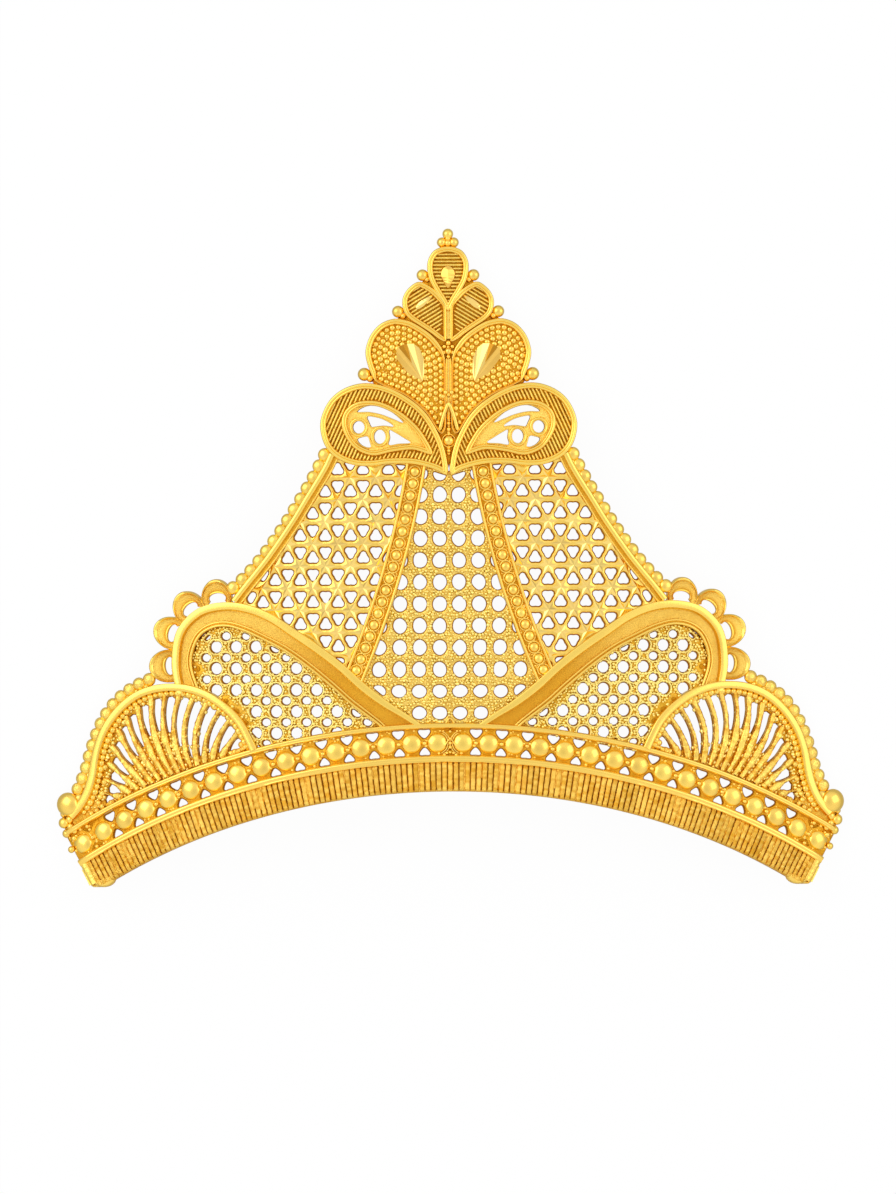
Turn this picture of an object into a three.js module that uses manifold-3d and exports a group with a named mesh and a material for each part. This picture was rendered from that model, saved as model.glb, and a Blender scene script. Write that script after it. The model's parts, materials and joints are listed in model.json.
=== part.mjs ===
// Bridal crown: a gold filigree crown for the brow, lying on its back.
//
// Every piece is drawn flat, as a goldsmith cuts it from sheet: x runs along the brow, y up the
// crown and z out of its face. bend() then wraps the piece round the brow in narrow flat facets,
// and the finished crown is turned down on to its two end balls and its finial.
import * as THREE from "three";
import { mergeVertices } from "three/addons/utils/BufferGeometryUtils.js";
import Module from "manifold-3d";

const wasm = await Module();
wasm.setup();

// ---------------------------------------------------------------- driving dimensions (mm, degrees)

// The crown keeps its drawn lengths at the neutral height above its back.
const brow = { radius: 150, neutral: 1.2, facet: 6.4, facets: 9 };
const gap = 0.3;
const pairs = { left: -1, right: 1 };

// The three parts of the band are arcs round one centre, far below the crown.
const arcs = { centreY: -106.8, steps: 16 };
const ribbedBand = { inner: 122.8, outer: 127.4, end: 30.3, footEnd: 28.3, depth: 1.5 };
const lowerRail = { inner: 127.7, outer: 129.25, end: 30.3, depth: 1.9 };
const upperRail = { inner: 132.9, outer: 134.4, end: 29.7, depth: 1.9 };
const bandBalls = { ring: 131.07, radius: 1.55, step: 1.906, count: 16, height: 1.2 };
const centreBoss = { top: 25.9, bottom: 22.8, halfWidth: 1.25, waist: 0.25, depth: 1.2 };
const endBall = { x: 66.8, y: 13.7, radius: 2.1, height: 1.6 };
const endGrains = { count: 3, radius: 0.8, height: 1 };

const fanFrame = { width: 1.3, depth: 2 };
const fan = { ribs: 15, ribWidth: 1, slotStart: 0.22, slotEnd: 0.97, arcFrom: 14.2, arcTo: 27.5, depth: 1.2 };
const fanBeads = { count: 13, radius: 0.78, height: 1 };
const scrollFrame = { outerRim: 1.2, innerRim: 0.8, tailFrom: 1.6, tailTo: 5.2, floor: 1, depth: 1.8 };
const scallop = { wall: 1.3, lip: 1.4, depth: 1.4 };
const sideRail = { width: 1, depth: 2 };
const sideBeads = { count: 13, radius: 0.85, height: 1 };
const channel = { width: 3.2, rim: 0.55, floor: 0.9, depth: 1.8 };
const channelBeads = { count: 17, radius: 0.65, height: 1.85 };

const centreMesh = { firstY: 29.4, pitchY: 3.66, rows: 12, pitchX: 3.5, hole: 1.35, depth: 1 };
// The columns of the centre mesh draw together towards the crest.
const taper = { fromY: 33, perMm: 0.0022 };
const starMesh = { topY: 68.95, rows: 9, pitch: 4.33, firstX: 9.94, hole: 1.45, depth: 0.9 };
const lattice = { firstX: 12.2, pitchX: 3.46, firstY: 25.75, pitchY: 3.63, hole: 1.05, small: 0.7, depth: 0.9 };
const meshBorder = { width: 0.35, smallestShare: 0.5 };

const crestLeaf = { rim: 1, floor: 1.2, depth: 2.2 };
const paisley = { rim: 0.9, floor: 1.2, depth: 2.4 };
const crestLobe = { rim: 1, floor: 1.2, depth: 2.2 };
const lobeStone = { depth: 1.4, bevel: 0.55 };
const upperLeaf = { rim: 0.8, floor: 1.1, depth: 2 };
const topDrop = { rim: 0.9, floor: 1.1, depth: 2 };
const stem = { bossRadius: 0.85, bossTop: 0.68, bossY: 75.4, depth: 1.8 };
const finial = { topY: 110.05, topRadius: 0.85, lowY: 108.95, lowRadius: 0.65, spread: 1, height: 0.85 };

// ---------------------------------------------------------------- tables of the right-hand side

// Sections across the scroll frame, from the fan, over the hook and down to the tail.
const scrollSections = [
  { outerX: 46.8, outerY: 33, innerX: 42.3, innerY: 32 },
  { outerX: 47.6, outerY: 38, innerX: 44.1, innerY: 37.6 },
  { outerX: 46.6, outerY: 43.5, innerX: 43.2, innerY: 41.6 },
  { outerX: 43, outerY: 47.1, innerX: 41.2, innerY: 43.5 },
  { outerX: 38.3, outerY: 48.2, innerX: 38.3, innerY: 44.1 },
  { outerX: 34, outerY: 47.7, innerX: 35, innerY: 43.3 },
  { outerX: 30, outerY: 46.1, innerX: 31.5, innerY: 41.7 },
  { outerX: 26, outerY: 43.5, innerX: 28, innerY: 39.9 },
  { outerX: 22, outerY: 40.8, innerX: 24, innerY: 37.1 },
  { outerX: 18, outerY: 37.7, innerX: 20, innerY: 33.8 },
  { outerX: 14.2, outerY: 34.3, innerX: 17, innerY: 31.1 },
  { outerX: 10, outerY: 31.1, innerX: 13.6, innerY: 28.4 },
];
const scrollTail = [
  [8, 29.9],
  [5.6, 28.8],
  [3.4, 28.15],
];

// Fan ribs, by number from the outer end: tip on the frame, middle, and foot on the rail.
const fanRibs = [
  { rib: 0, tipX: 60.4, tipY: 14.8, midX: 59.2, midY: 14.6, footX: 57.4, footY: 14.5 },
  { rib: 3, tipX: 59, tipY: 22, midX: 57, midY: 19.7, footX: 53.6, footY: 16.9 },
  { rib: 5, tipX: 56.5, tipY: 27.1, midX: 54.8, midY: 23, footX: 51, footY: 17.7 },
  { rib: 7, tipX: 52.2, tipY: 30.8, midX: 52, midY: 26, footX: 48.6, footY: 18.6 },
  { rib: 9, tipX: 47.2, tipY: 31.8, midX: 48.6, midY: 26.5, footX: 46.3, footY: 19.3 },
  { rib: 11, tipX: 42.3, tipY: 30.8, midX: 44.9, midY: 26, footX: 44.2, footY: 20 },
  { rib: 13, tipX: 38.4, tipY: 28, midX: 41, midY: 24.5, footX: 41.5, footY: 21 },
  { rib: 14, tipX: 36.9, tipY: 26, midX: 39.4, midY: 23, footX: 39.9, footY: 21.5 },
];

// Cupped rings outside the scroll: centre, direction they face, half width and reach.
const scallops = [
  { x: 39.6, y: 48.8, facing: 85, halfWidth: 2.4, reach: 3.1 },
  { x: 44.45, y: 46.9, facing: 50, halfWidth: 2.4, reach: 3.1 },
  { x: 47.8, y: 42.6, facing: 14, halfWidth: 2.45, reach: 3.2 },
  { x: 48.2, y: 37.4, facing: -2, halfWidth: 2.5, reach: 3.5 },
];

// Single beads on the crest's outline.
const knobs = [
  { name: "knob_low", x: 14.1, y: 86.6, radius: 1.05 },
  { name: "knob_mid", x: 8.55, y: 97, radius: 0.75 },
  { name: "knob_high", x: 4.55, y: 103.35, radius: 0.75 },
];

// Openings of the paisley: centre, half sizes and tilt.
const paisleyHoles = [
  { x: 15.3, y: 77.6, halfX: 0.9, halfY: 0.9, tilt: 0 },
  { x: 11.7, y: 76, halfX: 0.9, halfY: 1.1, tilt: 0 },
  { x: 11.6, y: 80.1, halfX: 3, halfY: 0.45, tilt: 18 },
  { x: 11.8, y: 78.4, halfX: 1.9, halfY: 0.4, tilt: 12 },
  { x: 8.6, y: 75.8, halfX: 1.4, halfY: 0.6, tilt: 20 },
  { x: 14.6, y: 74.9, halfX: 0.75, halfY: 0.5, tilt: 30 },
];

// Outlines and centre lines, x and y, each a smooth run of points.
const paths = {
  fanFrame: [
    [64.1, 12.3],
    [62.9, 14.6],
    [62.2, 18],
    [61, 23.8],
    [57.8, 29.6],
    [53, 32.8],
    [47.5, 33.6],
    [42, 32.2],
    [37.5, 29],
    [33.6, 25],
    [31.4, 23.3],
  ],
  bandFoot: [
    [62.5, 1.7],
    [61.9, 0.5],
    [60.7, 0],
    [59.3, 0.15],
  ],
  fanBeads: [
    [65.1, 16.6],
    [63.6, 20.6],
    [62, 25.9],
    [58.5, 31.5],
    [52.4, 34.95],
  ],
  endGrains: [
    [67.9, 10.6],
    [67.75, 8.6],
    [66.7, 6.4],
  ],
  sideRail: [
    [36.4, 48.2],
    [34, 51],
    [29, 58.2],
    [25, 64.4],
    [21.3, 70.3],
    [19.8, 73],
  ],
  sideBeads: [
    [36.5, 50.95],
    [33.4, 54.5],
    [30.3, 59.05],
    [26.3, 65.25],
    [22.1, 72],
  ],
  channelBeads: [
    [15.3, 37.6],
    [12.4, 44.9],
    [9.9, 52.6],
    [7.8, 60.2],
    [6, 69],
  ],
  centreMeshFoot: [
    [4.5, 27.2],
    [9, 29.3],
    [14.2, 32.6],
    [16.4, 34.8],
  ],
  centreMeshTop: [
    [3, 71],
    [0.7, 70.2],
  ],
  starMeshTop: [
    [9, 71.9],
    [13, 71.5],
    [17, 72.4],
    [19.3, 73.6],
  ],
  starMeshFoot: [
    [35.5, 46],
    [31.5, 44.4],
    [27, 41.7],
    [23, 39],
    [19, 35.9],
  ],
  latticeOuter: [
    [45, 37],
    [44.6, 41.5],
    [42, 45],
    [38.3, 46],
    [34.3, 45.3],
    [30.5, 43.8],
    [27, 41.6],
    [23, 38.9],
    [19, 35.7],
    [15.5, 32.6],
    [12, 29.9],
  ],
  crestLeaf: [
    [0.4, 69.3],
    [3, 70.3],
    [7, 71.5],
    [11, 70.9],
    [15, 71],
    [19, 72.5],
    [21, 75],
    [21.8, 79],
    [20.4, 82.7],
    [17, 84.7],
    [12.5, 84.8],
    [7, 82.4],
    [3.5, 79.3],
    [1, 74.8],
    [0.2, 72],
  ],
  paisley: [
    [2.8, 73],
    [6, 73.7],
    [10, 73.3],
    [13, 72.7],
    [16.5, 74.4],
    [17.9, 78],
    [16.6, 80.8],
    [13.5, 82],
    [9.5, 80.9],
    [6, 78],
    [3.3, 74.3],
  ],
  crestLobe: [
    [0.8, 78.7],
    [3.5, 80.7],
    [6, 82.5],
    [10, 84.7],
    [13, 87.3],
    [13.9, 91],
    [12.4, 93.9],
    [9, 95.5],
    [5, 94.2],
    [1.8, 91.2],
    [0.8, 87],
    [0.7, 80],
  ],
  lobeStone: [
    [3.3, 85],
    [3.4, 86.7],
    [4, 89.3],
    [5, 90.8],
    [7.2, 91.7],
    [8.2, 90.5],
    [8.2, 88.5],
    [7.3, 87],
    [5.5, 85.7],
  ],
  upperLeaf: [
    [1.2, 97],
    [2.9, 99.6],
    [4.8, 102.2],
    [6.6, 101.3],
    [7.6, 98.4],
    [6.8, 96],
    [3, 93.7],
    [1.2, 92.1],
  ],
  topDropSide: [
    [0, 97.5],
    [1.6, 99.9],
    [3.1, 102.4],
    [3.4, 105],
    [2, 107.4],
    [0, 107.95],
  ],
  stemSide: [
    [0.35, 75.4],
    [0.35, 90.6],
    [0.85, 91.9],
    [0.85, 97],
  ],
};
// Where the scroll's sunk floor runs out to a point in its tail.
const scrollFloorTip = { x: 12.3, y: 30.4 };

// The bead channel's centre line runs from the scroll up to the crest.
const channelLine = new THREE.QuadraticBezierCurve(
  new THREE.Vector2(16.2, 35.4),
  new THREE.Vector2(8.4, 53.3),
  new THREE.Vector2(5.5, 71.4),
);

// ---------------------------------------------------------------- flat drawing

const point = (x, y) => new THREE.Vector2(x, y);
const toPoints = (path) => path.map(([x, y]) => point(x, y));
const mirror = (side, points) => points.map(({ x, y }) => point(side * x, y));
const smooth = (path, steps) => new THREE.SplineCurve(toPoints(path)).getSpacedPoints(steps);

function onArc(radius, degrees) {
  const angle = THREE.MathUtils.degToRad(degrees);
  return point(radius * Math.sin(angle), arcs.centreY + radius * Math.cos(angle));
}

function arc(radius, from, to, steps) {
  return Array.from({ length: steps + 1 }, (_, i) => onArc(radius, from + ((to - from) * i) / steps));
}

// A closed strip of one width along a centre line.
function ribbon(line, width) {
  const edge = (reach) =>
    line.map((p, i) => {
      const along = line[Math.min(i + 1, line.length - 1)].clone().sub(line[Math.max(i - 1, 0)]).normalize();
      return point(p.x - along.y * reach, p.y + along.x * reach);
    });
  return [...edge(width / 2), ...edge(-width / 2).reverse()];
}

function ellipse(x, y, halfX, halfY, tilt, sides) {
  const turn = THREE.MathUtils.degToRad(tilt);
  return new THREE.EllipseCurve(x, y, halfX, halfY, 0, 2 * Math.PI, false, turn).getPoints(sides).slice(1);
}

function distanceToOutline(outline, p) {
  const distances = outline.map((start, i) => {
    const along = outline[(i + 1) % outline.length].clone().sub(start);
    const reach = THREE.MathUtils.clamp(p.clone().sub(start).dot(along) / along.lengthSq(), 0, 1);
    return p.distanceTo(start.clone().addScaledVector(along, reach));
  });
  return Math.min(...distances);
}

function isInside(outline, p) {
  const crossings = outline.filter((start, i) => {
    const end = outline[(i + 1) % outline.length];
    const level = start.y > p.y !== end.y > p.y;
    return level && p.x < start.x + ((end.x - start.x) * (p.y - start.y)) / (end.y - start.y);
  });
  return crossings.length % 2 === 1;
}

// A closed outline moved out by a distance, or in when it is negative. Points that a tight
// corner brings too near the outline again are left out.
const offsetSlack = 0.9;

function offset(outline, distance) {
  const turn = Math.sign(THREE.ShapeUtils.area(outline)) * distance;
  const moved = outline.map((p, i) => {
    const along = outline[(i + 1) % outline.length].clone().sub(outline.at(i - 1)).normalize();
    return point(p.x + along.y * turn, p.y - along.x * turn);
  });
  return moved.filter((p) => distanceToOutline(outline, p) > Math.abs(distance) * offsetSlack);
}

// ---------------------------------------------------------------- solids

function closed(geometry) {
  geometry.deleteAttribute("normal");
  geometry.deleteAttribute("uv");
  geometry.clearGroups();
  return mergeVertices(geometry, 1e-4);
}

function toSolid(geometry) {
  const corners = geometry.index.array;
  const kept = [];
  for (let i = 0; i < corners.length; i += 3) {
    const [a, b, c] = corners.slice(i, i + 3);
    if (a !== b && b !== c && c !== a) kept.push(a, b, c);
  }
  const vertProperties = new Float32Array(geometry.attributes.position.array);
  return new wasm.Manifold(new wasm.Mesh({ numProp: 3, vertProperties, triVerts: new Uint32Array(kept) }));
}

function toGeometry(solid) {
  const { vertProperties, triVerts } = solid.getMesh();
  const geometry = new THREE.BufferGeometry();
  geometry.setAttribute("position", new THREE.BufferAttribute(vertProperties, 3));
  geometry.setIndex([...triVerts]);
  return geometry;
}

// Upright walls on one or more flat outlines.
function plate(outlines, low, high) {
  const shapes = outlines[0].isVector2 ? new THREE.Shape(outlines) : outlines.map((run) => new THREE.Shape(run));
  const geometry = new THREE.ExtrudeGeometry(shapes, { depth: high - low, bevelEnabled: false });
  return closed(geometry.translate(0, 0, low));
}

function join(...geometries) {
  return toGeometry(geometries.map(toSolid).reduce((whole, part) => whole.add(part)));
}

function cut(geometry, ...tools) {
  return toGeometry(tools.map(toSolid).reduce((left, tool) => left.subtract(tool), toSolid(geometry)));
}

// Cutters reach from below every flat piece to above it.
const cutter = { low: -5, high: 9 };

// Opens holes right through a flat piece.
function pierce(geometry, holes) {
  return cut(geometry, plate(holes, cutter.low, cutter.high));
}

// Cuts a flat piece back from its neighbours' outlines, leaving the working gap.
function clearOf(geometry, outlines) {
  return cut(geometry, ...outlines.map((outline) => plate(offset(outline, gap), cutter.low, cutter.high)));
}

// A plate with a raised rim round a sunk floor.
function tray(outline, pocket, { floor, depth }) {
  return cut(plate(outline, 0, depth), plate(pocket, floor, cutter.high));
}

const largeBead = { sides: 8, latitudes: [-50, 0, 50] };
const smallBead = { sides: 5, latitudes: [-30, 30] };
// Width of the thread between two beads, as a share of theirs.
const neckShare = 0.35;

// Beads joined along their thread, from the first bead's centre to the last one's.
function beadString(curve, { count, radius, height }, { sides, latitudes }) {
  const length = curve.getLength();
  const pitch = length / (count - 1);
  const profile = [point(0, -radius)];
  for (let bead = 0; bead < count; bead += 1) {
    for (const latitude of latitudes) {
      const angle = THREE.MathUtils.degToRad(latitude);
      profile.push(point(radius * Math.cos(angle), bead * pitch + radius * Math.sin(angle)));
    }
    if (bead < count - 1) profile.push(point(radius * neckShare, (bead + 0.5) * pitch));
  }
  profile.push(point(0, length + radius));
  const geometry = closed(new THREE.LatheGeometry(profile, sides));
  const vertices = geometry.attributes.position;
  for (let i = 0; i < vertices.count; i += 1) {
    const travel = THREE.MathUtils.clamp(vertices.getY(i) / length, 0, 1);
    const beyond = vertices.getY(i) - travel * length;
    const centre = curve.getPointAt(travel);
    const along = curve.getTangentAt(travel);
    const across = vertices.getX(i);
    const x = centre.x + along.x * beyond - along.y * across;
    const y = centre.y + along.y * beyond + along.x * across;
    vertices.setXYZ(i, x, y, height + vertices.getZ(i));
  }
  return turnedOut(geometry);
}

function ball(x, y, height, radius, [sides, rings] = [10, 6]) {
  const sphere = new THREE.SphereGeometry(radius, sides, rings);
  return turnedOut(closed(sphere).translate(x, y, height));
}

// Faces a closed mesh outwards, whichever way its profile was drawn.
function turnedOut(geometry) {
  if (toSolid(geometry).volume() > 0) return geometry;
  geometry.setIndex([...geometry.index.array].reverse());
  return geometry;
}

// ---------------------------------------------------------------- bending round the brow

// Folds between the facets, in degrees from the middle.
const folds = Array.from({ length: brow.facets - 1 }, (_, i) => brow.facet * (i + 1 - brow.facets / 2));
const lastFacet = (brow.facets - 1) / 2;
const arcLength = (degrees) => brow.radius * THREE.MathUtils.degToRad(degrees);

// Splits every triangle that crosses x = fold, so that a flat sheet can bend there.
const onFold = 1e-5;

function splitAt(vertices, triangles, fold) {
  const seams = new Map();
  const near = (i) => Math.abs(vertices[i][0] - fold) < onFold;
  const seam = (a, b) => {
    const key = Math.min(a, b) + "_" + Math.max(a, b);
    if (!seams.has(key)) {
      const [low, high] = [vertices[Math.min(a, b)], vertices[Math.max(a, b)]];
      const share = (fold - low[0]) / (high[0] - low[0]);
      seams.set(key, vertices.push(low.map((value, i) => value + (high[i] - value) * share)) - 1);
    }
    return seams.get(key);
  };
  return triangles.flatMap((triangle) => {
    const halves = [-1, 1].map((side) => {
      const onSide = (i) => near(i) || side * (vertices[i][0] - fold) > 0;
      return triangle.flatMap((a, i) => {
        const b = triangle[(i + 1) % 3];
        const crosses = !near(a) && !near(b) && onSide(a) !== onSide(b);
        return [...(onSide(a) ? [a] : []), ...(crosses ? [seam(a, b)] : [])];
      });
    });
    if (halves.some((half) => half.length < 3)) return [triangle];
    if (triangle.filter(near).length === 3) return [triangle];
    return halves.flatMap((half) => half.slice(2).map((corner, i) => [half[0], half[i + 1], corner]));
  });
}

// The place of a flat point on the bent crown: facets are chords, mitred where they meet.
function wrapped([x, y, z]) {
  const facet = THREE.MathUtils.clamp(Math.round(x / arcLength(brow.facet)), -lastFacet, lastFacet);
  const corner = (degrees) => {
    const angle = THREE.MathUtils.degToRad(degrees);
    const reach = brow.radius + (z - brow.neutral) / Math.cos(THREE.MathUtils.degToRad(brow.facet / 2));
    return new THREE.Vector3(reach * Math.sin(angle), y, reach * Math.cos(angle) - brow.radius);
  };
  const start = (facet - 0.5) * brow.facet;
  return corner(start).lerp(corner(start + brow.facet), x / arcLength(brow.facet) - facet + 0.5);
}

function bend(flat) {
  const { array } = flat.attributes.position;
  const vertices = Array.from({ length: array.length / 3 }, (_, i) => [...array.slice(3 * i, 3 * i + 3)]);
  const index = [...flat.index.array];
  let triangles = Array.from({ length: index.length / 3 }, (_, i) => index.slice(3 * i, 3 * i + 3));
  triangles = triangles.filter(([a, b, c]) => a !== b && b !== c && c !== a);
  for (const degrees of folds) triangles = splitAt(vertices, triangles, arcLength(degrees));
  const geometry = new THREE.BufferGeometry();
  geometry.setFromPoints(vertices.map(wrapped));
  geometry.setIndex(triangles.flat());
  return geometry;
}

// ---------------------------------------------------------------- the crown

const finishes = {
  polished: { color: 0xf2bf45, metalness: 1, roughness: 0.18 },
  satin: { color: 0xe3aa38, metalness: 1, roughness: 0.38 },
  matt: { color: 0xdfa235, metalness: 1, roughness: 0.55 },
};
const crown = new THREE.Group();
crown.name = "bridal_crown";

function add(name, flat, finish) {
  const mesh = new THREE.Mesh(bend(flat), new THREE.MeshStandardMaterial(finishes[finish]));
  mesh.name = name;
  crown.add(mesh);
}

const railOutline = ({ inner, outer, end }) => [
  ...arc(outer, -end, end, arcs.steps),
  ...arc(inner, end, -end, arcs.steps),
];

function addBand() {
  const { inner, outer, end, footEnd, depth } = ribbedBand;
  const foot = smooth(paths.bandFoot, 4);
  const outline = [
    ...arc(outer, -end, end, arcs.steps),
    ...foot,
    ...arc(inner, footEnd, -footEnd, arcs.steps),
    ...mirror(-1, foot.toReversed()),
  ];
  add("ribbed_band", plate(outline, 0, depth), "satin");
  add("lower_rail", plate(railOutline(lowerRail), 0, lowerRail.depth), "polished");
  add("upper_rail", plate(railOutline(upperRail), 0, upperRail.depth), "polished");
}

function addCentreBoss() {
  const { top, bottom, halfWidth, waist, depth } = centreBoss;
  const middle = (top + bottom) / 2;
  const outline = [
    point(-halfWidth, top),
    point(-waist, middle),
    point(-halfWidth, bottom),
    point(halfWidth, bottom),
    point(waist, middle),
    point(halfWidth, top),
  ];
  add("centre_boss", plate(outline, 0, depth), "satin");
}

function addBandBalls(end, side) {
  const { ring, step, count } = bandBalls;
  const centres = Array.from({ length: count }, (_, i) => onArc(ring, side * (i + 0.5) * step));
  add("ball_row_" + end, beadString(new THREE.SplineCurve(centres), bandBalls, largeBead), "polished");
  add("end_ball_" + end, ball(side * endBall.x, endBall.y, endBall.height, endBall.radius), "polished");
  const grains = new THREE.SplineCurve(mirror(side, toPoints(paths.endGrains)));
  add("end_grains_" + end, beadString(grains, endGrains, smallBead), "polished");
}

function scrollOutline() {
  const outer = smooth([...scrollSections.map((row) => [row.outerX, row.outerY]), ...scrollTail], 24);
  const tail = arc(upperRail.outer + gap, scrollFrame.tailFrom, scrollFrame.tailTo, 3);
  const inner = smooth(scrollSections.map((row) => [row.innerX, row.innerY]), 18);
  return [...outer, ...tail, ...inner.toReversed()];
}

// The sunk floor of the scroll, between its outer and inner rims.
function scrollFloor() {
  const rows = scrollSections.slice(0, -1);
  const across = ({ outerX, outerY, innerX, innerY }, reach) => {
    const share = reach / Math.hypot(outerX - innerX, outerY - innerY);
    return [outerX + (innerX - outerX) * share, outerY + (innerY - outerY) * share];
  };
  const width = ({ outerX, outerY, innerX, innerY }) => Math.hypot(outerX - innerX, outerY - innerY);
  const outer = smooth(rows.map((row) => across(row, scrollFrame.outerRim)), 16);
  const inner = smooth(rows.map((row) => across(row, width(row) - scrollFrame.innerRim)), 16);
  return [...outer, point(scrollFloorTip.x, scrollFloorTip.y), ...inner.toReversed()];
}

const outlines = {
  upperRail: railOutline(upperRail),
  fanFrame: ribbon(smooth(paths.fanFrame, 20), fanFrame.width),
  scroll: scrollOutline(),
  channel: ribbon(channelLine.getPoints(10), channel.width),
  crestLeaf: smooth(paths.crestLeaf, 28),
  sideRail: ribbon(smooth(paths.sideRail, 8), sideRail.width),
};
const outlinesOn = (side, ...names) => names.map((name) => mirror(side, outlines[name]));

function addFan(end, side) {
  const frame = plate(mirror(side, outlines.fanFrame), 0, fanFrame.depth);
  add("fan_frame_" + end, clearOf(frame, outlinesOn(side, "upperRail")), "polished");
  const beads = new THREE.SplineCurve(mirror(side, toPoints(paths.fanBeads)));
  add("fan_beads_" + end, beadString(beads, fanBeads, smallBead), "polished");
  const foot = arc(upperRail.inner + gap, fan.arcFrom, fan.arcTo, 5);
  const inside = [...smooth(paths.fanFrame, 20), ...foot];
  const slots = fanSlots().map((slot) => mirror(side, slot));
  const panel = pierce(plate(mirror(side, inside), 0, fan.depth), slots);
  add("fan_ribs_" + end, clearOf(panel, outlinesOn(side, "upperRail", "fanFrame")), "satin");
}

// The centre line of one fan rib, by number, between the rows of the table.
function fanRib(number) {
  const after = fanRibs.findIndex(({ rib }) => rib >= number);
  const [low, high] = [fanRibs[Math.max(after - 1, 0)], fanRibs[after]];
  const share = high === low ? 0 : (number - low.rib) / (high.rib - low.rib);
  const between = (key) => THREE.MathUtils.lerp(low[key], high[key], share);
  return new THREE.QuadraticBezierCurve(
    point(between("footX"), between("footY")),
    point(between("midX"), between("midY")),
    point(between("tipX"), between("tipY")),
  );
}

// The open wedges between neighbouring ribs. Where ribs crowd, each takes this share of the way.
const ribShare = 0.4;

function fanSlots() {
  const slots = [];
  for (let number = 0; number < fan.ribs - 1; number += 1) {
    const [one, other] = [fanRib(number), fanRib(number + 1)];
    const sides = [[], []];
    for (let i = 0; i <= 2; i += 1) {
      const travel = THREE.MathUtils.lerp(fan.slotStart, fan.slotEnd, i / 2);
      const [a, b] = [one.getPoint(travel), other.getPoint(travel)];
      const room = a.distanceTo(b);
      const share = Math.min(fan.ribWidth / 2 / room, ribShare);
      sides[0].push(a.clone().lerp(b, share));
      sides[1].push(b.clone().lerp(a, share));
    }
    slots.push([...sides[0], ...sides[1].reverse()]);
  }
  return slots;
}

function addScroll(end, side) {
  const frame = tray(mirror(side, outlines.scroll), mirror(side, scrollFloor()), scrollFrame);
  add("scroll_frame_" + end, clearOf(frame, outlinesOn(side, "fanFrame")), "matt");
  scallops.forEach(({ x, y, facing, halfWidth, reach }, i) => {
    const turn = side > 0 ? facing : 180 - facing;
    const outline = ellipse(side * x, y, reach, halfWidth, turn, 14);
    const hole = ellipse(side * x, y, reach - scallop.lip, halfWidth - scallop.wall, turn, 10);
    const ring = pierce(plate(outline, 0, scallop.depth), [hole]);
    add("scallop_" + (i + 1) + "_" + end, clearOf(ring, outlinesOn(side, "scroll")), "polished");
  });
}

// Openings of a mesh: each shrinks where the border crowds it, and goes where no room is left.
function meshHoles(places, radius, borders, holeAt) {
  return places.flatMap((place) => {
    const room = Math.min(...borders.map((outline) => distanceToOutline(outline, place)));
    const fits = Math.min(radius, room - gap - meshBorder.width);
    const covered = borders.some((outline) => isInside(outline, place));
    return fits > radius * meshBorder.smallestShare && !covered ? [holeAt(place, fits)] : [];
  });
}

function grid(columns, rows, placeAt) {
  const cells = Array.from({ length: columns * rows }, (_, i) => placeAt(i % columns, Math.floor(i / columns)));
  return cells.map(([x, y]) => point(x, y));
}

// A pierced sheet that fills the room between its borders.
function mesh(region, depth, borders, ...openings) {
  const holes = openings.flatMap(({ places, radius, holeAt }) => {
    const inside = places.filter((place) => isInside(region, place));
    return meshHoles(inside, radius, borders, holeAt);
  });
  return clearOf(pierce(plate(region, 0, depth), holes), borders);
}

function addCentreMesh() {
  const { firstY, pitchY, rows, pitchX, hole, depth } = centreMesh;
  const half = [
    onArc(upperRail.inner + gap, 0),
    ...toPoints(paths.centreMeshFoot),
    ...channelLine.getPoints(8).slice(1),
    ...toPoints(paths.centreMeshTop),
  ];
  const region = [...half, ...mirror(-1, half.slice(1).reverse())];
  const places = grid(8, rows, (column, row) => {
    const y = firstY + row * pitchY;
    return [(column - 3.5) * pitchX * (1 - taper.perMm * (y - taper.fromY)), y];
  });
  const names = ["scroll", "channel", "crestLeaf"];
  const borders = [outlines.upperRail, ...outlinesOn(1, ...names), ...outlinesOn(-1, ...names)];
  const holeAt = ({ x, y }, radius) => ellipse(x, y, radius, radius, 30, 6);
  add("centre_mesh", mesh(region, depth, borders, { places, radius: hole, holeAt }), "satin");
}

function addStarMesh(end, side) {
  const { topY, rows, pitch, firstX, hole, depth } = starMesh;
  const lineStep = (pitch * Math.sqrt(3)) / 2;
  const region = [
    ...channelLine.getPoints(8),
    ...toPoints(paths.starMeshTop),
    ...smooth(paths.sideRail, 6).reverse().slice(1),
    ...toPoints(paths.starMeshFoot),
  ];
  const places = grid(8, 2 * rows, (column, row) => {
    const line = Math.floor(row / 2);
    const above = row % 2 === 0 ? 1 : -1;
    const x = firstX + column * pitch + (line % 2) * (pitch / 2);
    return [x, topY - line * lineStep + above * (lineStep / 3)];
  });
  const isAbove = (y) => (((y - topY) / lineStep) % 1 + 1) % 1 < 0.5;
  const holeAt = ({ x, y }, radius) => ellipse(x, y, radius, radius, isAbove(y) ? 90 : -90, 3);
  const borders = outlinesOn(1, "scroll", "channel", "crestLeaf", "sideRail");
  const flat = mesh(region, depth, borders, { places, radius: hole, holeAt });
  add("star_mesh_" + end, turnedOut(flat.scale(side, 1, 1)), "polished");
}

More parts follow.
